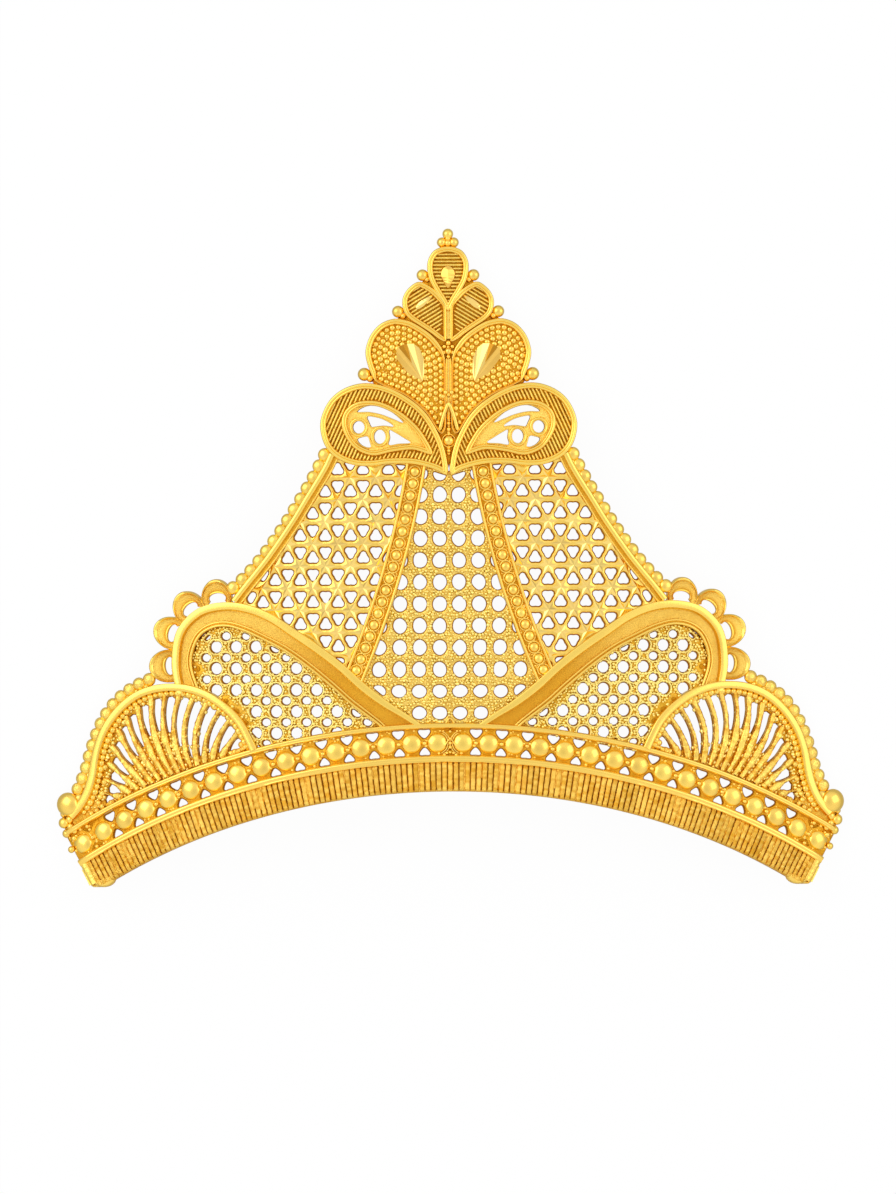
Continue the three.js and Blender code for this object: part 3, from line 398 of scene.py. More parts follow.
class Metalwork:
    """Gathers the points and faces of one piece, drawn flat in millimetres."""

    def __init__(self, seed):
        self.random = np.random.default_rng(seed)
        self.points, self.lift, self.tone = [], [], []
        self.quads, self.tris, self.quad_finish, self.tri_finish = [], [], [], []
        self.count = 0

    def add(self, points, quads=(), tris=(), finish=POLISHED, lift=None, tone=None):
        """Adds one closed shape.

        lift is 1 on a crest, 0 in a crevice and -1 in a dark hollow, and paints shade: the gold darkens
        towards the crevice and hollow colours where it lies low. tone, from 0 to 1, makes the whole shape a
        little darker or brighter, and is drawn by lot where none is given.
        """
        points = np.asarray(points, float)
        quads = np.asarray(quads, int).reshape(-1, 4)
        tris = np.asarray(tris, int).reshape(-1, 3)
        corners = np.vstack((quads[:, :3], quads[:, [0, 2, 3]], tris))
        a, b, c = (points[corners[:, k]] - points.mean(0) for k in range(3))
        if np.einsum("ij,ij->", a, np.cross(b, c)) < 0:
            quads, tris = quads[:, ::-1], tris[:, ::-1]
        # Without a given lift, painted shade darkens the shape where it lies low.
        if lift is None:
            low, high = points[:, 2].min(), points[:, 2].max()
            lift = (points[:, 2] - low) / max(high - low, 1e-6)
        self.points.append(points)
        self.quads.append(quads + self.count)
        self.tris.append(tris + self.count)
        self.lift.append(np.broadcast_to(lift, len(points)))
        self.tone.append(np.full(len(points), self.random.random() if tone is None else tone))
        self.quad_finish.append(np.broadcast_to(finish, len(quads)))
        self.tri_finish.append(np.full(len(tris), np.max(finish)))
        self.count += len(points)

    def bar(self, left, right, section, closed=False, finish=POLISHED, rise=1.0, rough=0.0, tone=None,
            lift=None):
        """A strip between two edges. Its section is a closed run of (share across, height)."""
        left, right = np.asarray(left, float), np.asarray(right, float)
        shares, heights = np.array(section, float).T
        rows, columns = len(left), len(section)
        flat = left[:, None] + (right - left)[:, None] * shares[None, :, None]
        tall = heights[None] * np.broadcast_to(rise, rows)[:, None]
        tall = tall + np.where(heights > heights.max() * 0.6, self.random.normal(0, 1, tall.shape), 0) * rough
        points = np.dstack((flat, tall)).reshape(-1, 3)
        quads = grid_faces(rows, columns, closed)
        if np.ndim(finish):
            finish = np.tile(finish, len(quads) // columns)
        tris = [] if closed else end_fans(rows, columns)
        # Without a given lift, painted shade darkens the strip towards its foot.
        if lift is None:
            lift = np.clip((points[:, 2] - heights.min()) / np.ptp(heights), 0, 1)
        self.add(points, quads, tris, finish, lift, tone)

    def wire(self, line, radius, height, sides=8, closed=False, squash=1.0, finish=POLISHED, least=0.0):
        """A round wire along a line, with rounded ends."""
        line = raised(line, height)
        radii = np.array(np.broadcast_to(radius, len(line)), float)
        across = leftward(line, closed)
        if not closed:
            heading = along(line, False)
            reach, size = np.array((1.0, 0.75)), np.array((0.05, 0.66))
            start = line[0] - heading[0] * (radii[0] * reach)[:, None]
            end = line[-1] + heading[-1] * (radii[-1] * reach[::-1])[:, None]
            line = np.vstack((start, line, end))
            radii = np.concatenate((radii[0] * size, radii, radii[-1] * size[::-1]))
            across = np.vstack((across[:1], across[:1], across, across[-1:], across[-1:]))
        turn = np.linspace(0, 2 * math.pi, sides, endpoint=False)
        flat = line[:, None, :2] + across[:, None] * (radii[:, None] * np.cos(turn))[..., None]
        tall = line[:, None, 2] + radii[:, None] * np.sin(turn) * squash
        points = np.dstack((flat, tall)).reshape(-1, 3)
        tris = [] if closed else end_fans(len(line), sides)
        # Painted shade: the wire darkens towards its underside, down to least.
        lift = np.tile(np.maximum(0.5 + np.sin(turn) / 2, least), len(line))
        self.add(points, grid_faces(len(line), sides, closed), tris, finish, lift)

    def grains(self, centres, radius, sides, rings=None, finish=POLISHED, squash=1.0, least=0.15):
        """Round grains at (u, v, w) centres."""
        centres = np.atleast_2d(np.asarray(centres, float))
        ball, quads, tris = unit_ball(sides, rings or round(sides * 2 / 3))
        # Painted shade: each grain darkens towards its underside, down to least.
        lift = least + (1 - least) * (ball[:, 2] + 1) / 2
        for centre, size in zip(centres, np.broadcast_to(radius, len(centres))):
            self.add(centre + ball * (size, size, size * squash), quads, tris, finish, lift)

    def sheet(self, outline, holes, low, high, soft, finish, lift, edge=-0.7):
        """A pierced sheet with softened upper edges. Painted shade darkens the walls of its openings to the
        edge lift, and its foot and underside to the crevice colour.
        """
        loops = [facing(np.asarray(outline, float), 1)]
        loops += [facing(hole, -1) for hole in holes if len(hole) > 2]
        rims = np.vstack(loops)
        tops = [beside(loop, soft, True) for loop in loops]
        flat, tris = triangulated(tops, scattered(loops, SPREAD, soft))
        tops = np.vstack(tops)
        count, inner = len(rims), flat[len(rims):]
        layers = [(rims, low), (rims, high - soft), (rims * 0.35 + tops * 0.65, high - soft * 0.25),
                  (tops, high)]
        points = [np.column_stack((line, np.full(count, level))) for line, level in layers]
        points += [np.column_stack((inner, np.full(len(inner), level))) for level in (high, low)]
        firsts = np.concatenate(([0], np.cumsum([len(loop) for loop in loops])))
        quads = []
        for first, after in zip(firsts, firsts[1:]):
            ring_quads = grid_faces(4, after - first, False)
            quads.append(ring_quads % (after - first) + ring_quads // (after - first) * count + first)
        upper = np.where(tris < count, tris + 3 * count, tris - count + 4 * count)
        lower = np.where(tris < count, tris, tris - count + 4 * count + len(inner))
        cut = np.arange(count) >= len(loops[0])
        # Painted shade on the walls of the openings, and at the foot of the outer wall.
        rows = [np.where(cut, value, other) for value, other in ((edge, 0), (edge, lift), (edge, lift))]
        lifts = np.concatenate((*rows, np.full(count + len(inner), lift), np.zeros(len(inner))))
        self.add(np.vstack(points), np.vstack(quads), np.vstack((upper, lower[:, ::-1])), finish, lifts, 0.5)

    def pair(self, name, slot):
        """Makes the piece twice, as drawn on the right and mirrored on the left."""
        for end, side in SIDES.items():
            self.place(f"{name}_{end}", slot, side)

    def place(self, node, slot, side=1):
        """Makes the piece, bent round the brow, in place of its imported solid."""
        points = worn(np.vstack(self.points) * (side, 1, 1))
        quads, tris = np.vstack(self.quads)[:, ::side], np.vstack(self.tris)[:, ::side]
        mesh = bpy.data.meshes.new(node + "_work")
        mesh.vertices.add(len(points))
        mesh.vertices.foreach_set("co", points.astype(np.float32).ravel())
        mesh.loops.add(quads.size + tris.size)
        corners = np.concatenate((quads.ravel(), tris.ravel()))
        mesh.loops.foreach_set("vertex_index", corners.astype(np.int32))
        mesh.polygons.add(len(quads) + len(tris))
        starts = np.concatenate((np.arange(len(quads)) * 4, quads.size + np.arange(len(tris)) * 3))
        mesh.polygons.foreach_set("loop_start", starts.astype(np.int32))
        used, finishes = np.unique(np.concatenate(self.quad_finish + self.tri_finish), return_inverse=True)
        mesh.polygons.foreach_set("material_index", finishes.astype(np.int32))
        for finish in used:
            mesh.materials.append(bpy.data.materials["worked_" + FINISHES[finish]])
        for title, values in (("lift", self.lift), ("tone", self.tone)):
            attribute = mesh.attributes.new(title, "FLOAT", "POINT")
            attribute.data.foreach_set("value", np.concatenate(values).astype(np.float32))
        mesh.update(calc_edges=True)
        mesh.shade_smooth()
        mesh.set_sharp_from_angle(angle=math.radians(SHARP_ANGLE))
        if CUT in used:
            flat = mesh.attributes.get("sharp_face") or mesh.attributes.new("sharp_face", "BOOLEAN", "FACE")
            flat.data.foreach_set("value", used[finishes] == CUT)
        piece = bpy.data.objects.new(node + "_work", mesh)
        bpy.context.scene.collection.objects.link(piece)
        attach(piece, "root")
        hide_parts(node)


def grid_faces(rows, columns, closed):
    """Quads between neighbouring rows of a grid whose rows close on themselves."""
    row = np.arange(rows if closed else rows - 1)[:, None]
    column = np.arange(columns)[None]
    here, there = row * columns, (row + 1) % rows * columns
    after = (column + 1) % columns
    return np.stack((here + column, here + after, there + after, there + column), axis=2).reshape(-1, 4)


def end_fans(rows, columns):
    """Triangles that close both ends of a grid."""
    last = (rows - 1) * columns
    ends = [(0, k + 1, k) for k in range(1, columns - 1)]
    return ends + [(last, last + k, last + k + 1) for k in range(1, columns - 1)]


def unit_ball(sides, rings):
    """A ball of radius 1, with its poles up and down."""
    turn = np.linspace(0, 2 * math.pi, sides, endpoint=False)
    rows = [[(0, 0, -1)]]
    for height in np.linspace(-math.pi / 2, math.pi / 2, rings + 1)[1:-1]:
        level = np.column_stack((np.cos(turn), np.sin(turn))) * math.cos(height)
        rows.append(raised(level, math.sin(height)))
    points = np.vstack(rows + [[(0, 0, 1)]])
    top = len(points) - 1
    tris = [(0, (k + 1) % sides + 1, k + 1) for k in range(sides)]
    tris += [(top, top - sides + k, top - sides + (k + 1) % sides) for k in range(sides)]
    return points, grid_faces(rings - 1, sides, False) + 1, np.array(tris)


def scattered(loops, spacing, margin):
    """Points spread over a pierced outline, so that its sheet can bend."""
    low, high = loops[0].min(0), loops[0].max(0)
    u, v = np.meshgrid(*(np.arange(low[k] + spacing / 3, high[k], spacing) for k in range(2)))
    points = np.column_stack((u.ravel(), v.ravel()))
    points = points[inside(loops, points)]
    for loop in loops:
        points = points[nearest(loop, points)[0] > margin + 0.3]
    return points


def triangulated(loops, spread):
    """Flat points, outline points first, and triangles inside an outline and outside its holes."""
    edges, first = [], 0
    for loop in loops:
        edges += [(first + k, first + (k + 1) % len(loop)) for k in range(len(loop))]
        first += len(loop)
    points = np.vstack(loops + [spread])
    found, _, faces, origins, *_ = delaunay_2d_cdt([Vector(p) for p in points], edges, [], 0, 1e-6)
    extra = [tuple(found[k]) for k, origin in enumerate(origins) if not origin]
    numbers, crossings = [], len(points)
    for origin in origins:
        numbers.append(origin[0] if origin else crossings)
        crossings += not origin
    points = np.vstack((points, extra)) if extra else points
    tris = np.array([[numbers[k] for k in face] for face in faces])
    tris = tris[inside(loops, points[tris].mean(1))]
    a, b, c = (points[tris[:, k]] for k in range(3))
    turn = (b[:, 0] - a[:, 0]) * (c[:, 1] - a[:, 1]) - (b[:, 1] - a[:, 1]) * (c[:, 0] - a[:, 0])
    tris = np.where(turn[:, None] < 0, tris[:, ::-1], tris)
    return points, tris[np.abs(turn) > 1e-9]


def domed(height, shoulder, steps):
    """The section of a half-round bar."""
    turn = np.linspace(math.pi, 0, steps)
    arch = [(0.5 + math.cos(t) / 2, height * (shoulder + (1 - shoulder) * math.sin(t))) for t in turn]
    return [(0, 0)] + arch + [(1, 0)]


def slab(height):
    """The section of a flat strip with softened corners."""
    return [(0, 0), (0, height * 0.88), (0.06, height), (0.94, height), (1, height * 0.88), (1, 0)]


def raised(points, height):
    """Flat points at one height, or at a height for each."""
    points = np.atleast_2d(np.asarray(points, float))
    return np.column_stack((points, np.broadcast_to(height, len(points))))


def rim(work, outline, width, height, share=1.0):
    """A broad bright rim inside an outline, with a groove along it."""
    outline = facing(outline, 1)
    share = np.broadcast_to(share, len(outline))[:, None]
    section = [(0, 0), (0, 0.85), (0.06, 0.94), (0.18, 1.0), (0.44, 1.0), (0.54, 0.95), (0.59, 0.93),
               (0.64, 0.95), (0.74, 0.98), (0.88, 0.96), (0.96, 0.9), (1, 0.75), (1, 0)]
    # Painted shade at the foot of the rim, in its groove and at its inner edge.
    lift = np.tile((0, 0.6, 0.9, 1, 1, 0.8, 0.45, 0.8, 1, 1, 0.8, 0.3, 0), len(outline))
    section = [(across, up * height) for across, up in section]
    work.bar(outline, beside(outline, width * share, True), section, closed=True, lift=lift)


def striped(work, outline, gap, degrees, pitch, margin, height):
    """Lays fine straight wires side by side on a floor, broken where a gap lies."""
    heading, across = axes(degrees)
    middle = outline.mean(0)
    reach = np.linalg.norm(outline - middle, axis=1).max()
    for offset in np.arange(-reach, reach, pitch):
        line = middle + across * offset + heading * np.arange(-reach, reach, 0.35)[:, None]
        free = inside(outline, line) & (nearest(outline, line)[0] > margin) & ~inside(gap, line)
        runs = np.split(np.arange(len(line)), np.flatnonzero(np.diff(free.astype(int))) + 1)
        for run in runs:
            if free[run[0]] and len(run) > 1:
                work.wire(line[run], 0.19, height, finish=SATIN, least=0.65)


def packed(outline, pitch, depth, gap):
    """Places for grains in rows that follow an outline inwards, none of them in a gap."""
    kept = np.empty((0, 2))
    row = inset(outline, depth, pitch)
    while len(row) > 3:
        for place in row:
            if not len(kept) or np.linalg.norm(kept - place, axis=1).min() > pitch * 0.8:
                kept = np.vstack((kept, place))
        depth += pitch * 0.88
        row = inset(outline, depth, pitch)
    return kept[~inside(gap, kept)]


def fitted(shape, room):
    """A shape cut back to the room it has, or None where too little of it is left."""
    whole = abs(area(shape))
    places = nearest(room, shape)[1]
    free = inside(room, shape)
    if free.all():
        return shape
    shape = np.where(free[:, None], shape, places)
    steps = np.linalg.norm(np.roll(shape, -1, 0) - shape, axis=1)
    shape = shape[steps > 0.05]
    if len(shape) < 5 or abs(area(shape)) < whole * 0.2:
        return None
    shape = even(shape, 0.12, True)
    for _ in range(4):
        shape = (np.roll(shape, 1, 0) + 2 * shape + np.roll(shape, -1, 0)) / 4
    return even(shape, 0.3, True)


def openings(shapes, room):
    """The shapes that fit a room, cut back at its edge."""
    return [shape for shape in (fitted(shape, room) for shape in shapes) if shape is not None]


def granulated(work, outline, holes, pitch, height, finish=GRAINED, least=0.6, margin=0.3):
    """Covers a pierced panel with small grains in close, slightly uneven rows."""
    low, high = outline.min(0), outline.max(0)
    u, v = np.meshgrid(np.arange(low[0], high[0], pitch), np.arange(low[1], high[1], pitch * 0.87))
    u = u + (np.arange(len(u)) % 2)[:, None] * pitch / 2
    places = np.column_stack((u.ravel(), v.ravel()))
    places = places + work.random.normal(0, pitch * 0.17, places.shape)
    places = places[inside([outline] + holes, places)]
    for hole in holes:
        near = np.linalg.norm(places - hole.mean(0), axis=1) < 3
        crowded = near.copy()
        crowded[near] = nearest(hole, places[near])[0] < pitch * margin
        places = places[~crowded]
    sizes = pitch * work.random.normal(0.53, 0.08, len(places))
    places = raised(places, height + work.random.normal(0, 0.05, len(places)))
    work.grains(places, sizes, 6, finish=finish, least=least)


# ------------------------------------------------------------------ finishes


def node(tree, kind, inputs=(), **settings):
    """A shader node with its settings, and values or links for its inputs by name or number."""
    made = tree.nodes.new(kind)
    for name, value in settings.items():
        setattr(made, name, value)
    for name, value in dict(inputs).items():
        if isinstance(value, bpy.types.NodeSocket):
            tree.links.new(value, made.inputs[name])
        else:
            made.inputs[name].default_value = value
    return made


def faded(tree, value, low, high, start=0.0, end=1.0):
    """A value turned smoothly from one range to another."""
    inputs = {0: value, 1: low, 2: high, 3: start, 4: end}
    return node(tree, "ShaderNodeMapRange", inputs, interpolation_type="SMOOTHSTEP").outputs[0]


def gold_surface():
    """Colour, roughness and height of worked gold, from how deep a place lies in its piece. The colour is
    painted shade: it darkens from the crest colour to the crevice and hollow colours where lift is low.
    """
    group = bpy.data.node_groups.new("gold_surface", "ShaderNodeTree")
    for name in ("Crest Color", "Crevice Shade Color", "Hollow Shade Color"):
        group.interface.new_socket(name, in_out="INPUT", socket_type="NodeSocketColor")
    for name in ("Crevice Shade Depth", "Grain Size", "Grain", "Smooth Roughness", "Worn Roughness"):
        group.interface.new_socket(name, in_out="INPUT", socket_type="NodeSocketFloat")
    results = (("Color", "NodeSocketColor"), ("Roughness", "NodeSocketFloat"), ("Height", "NodeSocketFloat"))
    for name, kind in results:
        group.interface.new_socket(name, in_out="OUTPUT", socket_type=kind)
    given = node(group, "NodeGroupInput").outputs
    place = node(group, "ShaderNodeTexCoord").outputs["Object"]
    lift = node(group, "ShaderNodeAttribute", attribute_name="lift").outputs["Fac"]
    tone = node(group, "ShaderNodeAttribute", attribute_name="tone").outputs["Fac"]
    cloud = {"Vector": place, "Scale": 260.0, "Detail": 3.0, "Roughness": 0.6}
    cloud = node(group, "ShaderNodeTexNoise", cloud).outputs["Fac"]
    grit = {"Vector": place, "Scale": given["Grain Size"], "Detail": 2.0, "Roughness": 0.7}
    grit = node(group, "ShaderNodeTexNoise", grit).outputs["Fac"]
    pits = {"Vector": place, "Scale": given["Grain Size"], "Randomness": 1.0}
    pits = node(group, "ShaderNodeTexVoronoi", pits).outputs["Distance"]
    # Painted shade: the crevice colour takes over where lift, with a little noise, is low, and the hollow
    # colour where lift falls below zero.
    uneven = node(group, "ShaderNodeMath", {0: cloud, 1: 0.35, 2: lift}, operation="MULTIPLY_ADD").outputs[0]
    deep = faded(group, uneven, 0.2, 0.75, 1.0, 0.0)
    deep = {0: deep, 1: given["Crevice Shade Depth"]}
    deep = node(group, "ShaderNodeMath", deep, operation="MULTIPLY").outputs[0]
    mixed = {"Factor": deep, 6: given["Crest Color"], 7: given["Crevice Shade Color"]}
    mixed = node(group, "ShaderNodeMix", mixed, data_type="RGBA").outputs[2]
    hollow = {"Factor": faded(group, lift, -1.0, -0.1, 1.0, 0.0), 6: mixed, 7: given["Hollow Shade Color"]}
    mixed = node(group, "ShaderNodeMix", hollow, data_type="RGBA").outputs[2]
    shade = node(group, "ShaderNodeMath", {0: cloud, 1: 0.3, 2: tone}, operation="MULTIPLY_ADD").outputs[0]
    bright = faded(group, shade, 0.1, 1.2, 0.93, 1.06)
    color = node(group, "ShaderNodeHueSaturation", {"Value": bright, "Color": mixed}).outputs["Color"]
    worn_share = faded(group, cloud, 0.35, 0.7)
    rough = {0: worn_share, 1: 0.0, 2: 1.0, 3: given["Smooth Roughness"], 4: given["Worn Roughness"]}
    rough = node(group, "ShaderNodeMapRange", rough).outputs[0]
    rough = node(group, "ShaderNodeMath", {0: deep, 1: 0.15, 2: rough}, operation="MULTIPLY_ADD").outputs[0]
    grain = node(group, "ShaderNodeMath", {0: grit, 1: pits}, operation="ADD").outputs[0]
    height = node(group, "ShaderNodeMath", {0: grain, 1: given["Grain"]}, operation="MULTIPLY").outputs[0]
    node(group, "NodeGroupOutput", {"Color": color, "Roughness": rough, "Height": height})
    return group


# How dark the painted shade in each finish's crevices gets, the size and height of its grain, its
# roughness where it is fresh and where it is rubbed, and how strongly the grain shows.
WEAR_AND_SHADE = {
    "polished_gold": dict(depth=0.9, grain_size=3800.0, grain=0.3, fresh=0.18, rubbed=0.28, bump=0.15),
    "satin_gold": dict(depth=1.0, grain_size=2700.0, grain=1.0, fresh=0.26, rubbed=0.38, bump=0.6),
    "matt_gold": dict(depth=0.9, grain_size=5200.0, grain=1.0, fresh=0.36, rubbed=0.48, bump=0.8),
    "grained_gold": dict(depth=1.0, grain_size=2700.0, grain=0.8, fresh=0.24, rubbed=0.36, bump=0.5),
    "cut_gold": dict(depth=0.7, grain_size=3000.0, grain=0.2, fresh=0.06, rubbed=0.14, bump=0.05),
}


def gold(name, surface, tints, depth, grain_size, grain, fresh, rubbed, bump):
    """A gold finish. Its surface changes come from the shared group."""
    material = bpy.data.materials.new("worked_" + name)
    material.use_nodes = True
    tree = material.node_tree
    tree.nodes.clear()
    crest, crevice, hollow = tints
    values = {"Crest Color": crest, "Crevice Shade Color": crevice, "Hollow Shade Color": hollow, "Crevice Shade Depth": depth,
              "Grain Size": grain_size, "Grain": grain, "Smooth Roughness": fresh,
              "Worn Roughness": rubbed}
    worked = node(tree, "ShaderNodeGroup", node_tree=surface)
    for title, value in values.items():
        worked.inputs[title].default_value = value
    normal = {"Height": worked.outputs["Height"], "Strength": bump, "Distance": 0.0001}
    normal = node(tree, "ShaderNodeBump", normal).outputs["Normal"]
    shader = {"Base Color": worked.outputs["Color"], "Roughness": worked.outputs["Roughness"],
              "Normal": normal, "Metallic": 1.0}
    shader = node(tree, "ShaderNodeBsdfPrincipled", shader)
    node(tree, "ShaderNodeOutputMaterial", {"Surface": shader.outputs["BSDF"]})
    material.diffuse_color = crest


def make_finishes(tints):
    """The five gold finishes, from the same three tints."""
    surface = gold_surface()
    crest, crevice, hollow = (*tints.crest, 1), (*tints.crevice, 1), (*tints.hollow, 1)
    # The cut facets get a paler crest colour, a painted highlight.
    pale = (*(value * 0.93 + 0.07 for value in tints.crest), 1)
    light = (crest[0], crest[1] * 1.16, crest[2] * 1.7, 1)
    warm = (crevice[0] * 1.03, crevice[1] * 1.16, crevice[2] * 1.6, 1)
    own = {"grained_gold": (light, warm, hollow), "cut_gold": (pale, crevice, hollow)}
    for name, wear_and_shade in WEAR_AND_SHADE.items():
        gold(name, surface, own.get(name, (crest, crevice, hollow)), **wear_and_shade)


class CROWN_OT_finishes(bpy.types.Operator):
    """Makes the gold finishes"""
    bl_idname = "crown.finishes"
    bl_label = "Finishes"

    def execute(self, context):
        make_finishes(context.scene.crown_tints)
        return {"FINISHED"}


# ------------------------------------------------------------------ sizes that a user may change


class CrownBand(bpy.types.PropertyGroup):
    ribs: bpy.props.IntProperty(
        name="Ribs", description="Upright ribs on the lower band", default=141, min=20)
    rib_height: bpy.props.FloatProperty(
        name="Rib Height", description="How far the ribs stand out, in millimetres", default=1.4)
    ball_radius: bpy.props.FloatProperty(
        name="Ball Radius", description="Radius of the balls of the band, in millimetres", default=1.76)
    end_ball_radius: bpy.props.FloatProperty(
        name="End Ball Radius", description="Radius of the balls at the band's ends, in millimetres",
        default=2.02)


class CrownMesh(bpy.types.PropertyGroup):
    round_hole: bpy.props.FloatProperty(
        name="Middle Hole", description="Radius of the middle panel's openings, in millimetres", default=1.22)
    star_hole: bpy.props.FloatProperty(
        name="Star Hole", description="Half height of the star mesh's openings, in millimetres", default=0.92)
    lattice_hole: bpy.props.FloatProperty(
        name="Scroll Hole", description="Radius of the openings inside the scrolls, in millimetres",
        default=0.96)


class CrownCrest(bpy.types.PropertyGroup):
    rim: bpy.props.FloatProperty(
        name="Rim", description="Width of the rims of the leaves, in millimetres", default=1.0)
    stripe: bpy.props.FloatProperty(
        name="Stripe Pitch", description="Distance between the stripes of a leaf's floor, in millimetres",
        default=0.6)
    grain: bpy.props.FloatProperty(
        name="Grain", description="Radius of the grains of the lobes, in millimetres", default=0.49)


class CrownTints(bpy.types.PropertyGroup):
    # The crest colour is the gold's own colour on its tops. The crevice and hollow colours are painted shade,
    # laid where the gold lies low.
    crest: bpy.props.FloatVectorProperty(
        name="Crests", description="Colour of the gold where it is rubbed bright", subtype="COLOR",
        default=(1.0, 0.675, 0.14), min=0, max=1)
    crevice: bpy.props.FloatVectorProperty(
        name="Crevices", description="Colour of the gold deep between its grains", subtype="COLOR",
        default=(0.74, 0.36, 0.02), min=0, max=1)
    hollow: bpy.props.FloatVectorProperty(
        name="Hollows", description="Colour of the gold in its deepest gaps", subtype="COLOR",
        default=(0.44, 0.17, 0.004), min=0, max=1)


class CrownStage(bpy.types.PropertyGroup):
    lens: bpy.props.FloatProperty(
        name="Lens", description="Focal length of the camera, in millimetres", default=448.5)
    roll: bpy.props.FloatProperty(
        name="Roll", description="Turn of the camera about its own line of sight, in degrees", default=-0.27)
    distance: bpy.props.FloatProperty(
        name="Distance", description="From the camera to the crown", default=2.5, unit="LENGTH")
    glow: bpy.props.FloatProperty(
        name="Room Light", description="Strength of the even light all round", default=1.0)
    lamps: bpy.props.FloatProperty(
        name="Lamps", description="Strength of the soft lamps", default=1.0)


# ------------------------------------------------------------------ the band


class CROWN_OT_band(bpy.types.Operator):
    """Makes the ribbed band and the rails above and below the balls"""
    bl_idname = "crown.band"
    bl_label = "Band and Rails"

    def execute(self, context):
        sizes = context.scene.crown_band
        self.ribbed_band(sizes)
        self.rail("lower_rail", 3, LOWER_RAIL)
        self.rail("upper_rail", 4, UPPER_RAIL)
        return {"FINISHED"}

    def ribbed_band(self, sizes):
        work = Metalwork(2)
        inner, outer = RIB_EDGES
        edge = BAND_END

        def foot_radius(degrees):
            return np.maximum(inner, (RIB_FOOT - BAND_CENTRE) / np.cos(np.radians(degrees)))

        turn = np.linspace(-edge, edge, 121)
        lower = on_band(foot_radius(turn), turn)
        # The floor between the ribs is painted in dark hollow shade.
        work.bar(on_band(outer, turn), lower, slab(0.5), finish=SATIN, tone=0.2, lift=-0.55)
        reach = np.concatenate(((0.0, 0.02, 0.06), np.linspace(0.12, 0.9, 12), (0.95, 0.98, 1.0)))
        narrow = np.interp(reach, (0, 0.03, 0.92, 1), (0.85, 1, 1, 0.85))
        rise = np.interp(reach, (0, 0.06, 0.93, 1), (0.7, 1, 1, 0.75))
        tall = sizes.rib_height
        section = [(0, 0), (0, tall * 0.8), (0.07, tall * 0.95), (0.2, tall), (0.8, tall),
                   (0.93, tall * 0.95), (1, tall * 0.8), (1, 0)]
        # The ribs stand closer towards the ends of the band.
        share = np.linspace(-1, 1, sizes.ribs)
        places = (edge - 0.75) * (1.04 * share - 0.04 * share**3)
        for degrees, step in zip(places, np.gradient(places)):
            foot = foot_radius(abs(degrees) + step / 2)
            radii = foot + (outer - foot) * reach
            half = step * 0.448 * narrow
            wave = work.random.normal(0, 0.01, len(half))
            left, right = on_band(radii, degrees - half + wave), on_band(radii, degrees + half + wave)
            # Painted shade across each rib, darker towards its sides and feet, with a random tone along it.
            painted_shades = np.clip(0.28 + work.random.normal(0, 0.1, (len(radii), 1)), 0, 1)
            painted_shades = painted_shades * (0, 0.5, 0.85, 1, 1, 0.85, 0.5, 0)
            work.bar(left, right, section, finish=MATT, rise=rise, rough=0.028, lift=painted_shades.ravel())
            # Here and there a gap between two ribs is filled up.
            if work.random.random() < 0.22:
                first = work.random.integers(1, 10)
                filled = radii[first:]
                left, right = on_band(filled, degrees + step * 0.34), on_band(filled, degrees + step * 0.66)
                work.bar(left, right, domed(tall * 0.9, 0.85, 4), finish=SATIN, rough=0.08, lift=0.4)
        work.wire(lower + (0, 0.2), 0.17, 0.6, finish=SATIN)
        for side in SIDES.values():
            upright = np.linspace(124.1, outer, 14)
            close = [on_band(upright, side * degrees) for degrees in (edge - 0.62, edge)]
            work.bar(*close, domed(1.45, 0.75, 6), finish=SATIN)
            foot = np.vstack((on_band(124.6, [edge]), smooth(BAND_FOOT, 0.5), on_band(123.9, [edge - 2.4])))
            foot = foot if side > 0 else mirrored(foot)
            work.sheet(foot, [], 0, 1.25, 0.35, SATIN, lift=0.75)
        work.place("ribbed_band", SATIN)

    def rail(self, name, seed, edges):
        """A flat rail with a shallow groove."""
        work = Metalwork(seed)
        section = [(0, 0), (0, 1.2), (0.08, 1.55), (0.2, 1.68), (0.3, 1.62), (0.36, 1.64), (0.55, 1.78),
                   (0.75, 1.78), (0.9, 1.6), (1, 1.2), (1, 0)]
        arcs = [band_arc(radius, -BAND_END, BAND_END) for radius in edges]
        taper = np.ones(len(arcs[0]))
        taper[[0, -1]], taper[[1, -2]] = 0.8, 0.97
        work.bar(*arcs, section, rise=taper, rough=0.01)
        work.place(name, POLISHED)


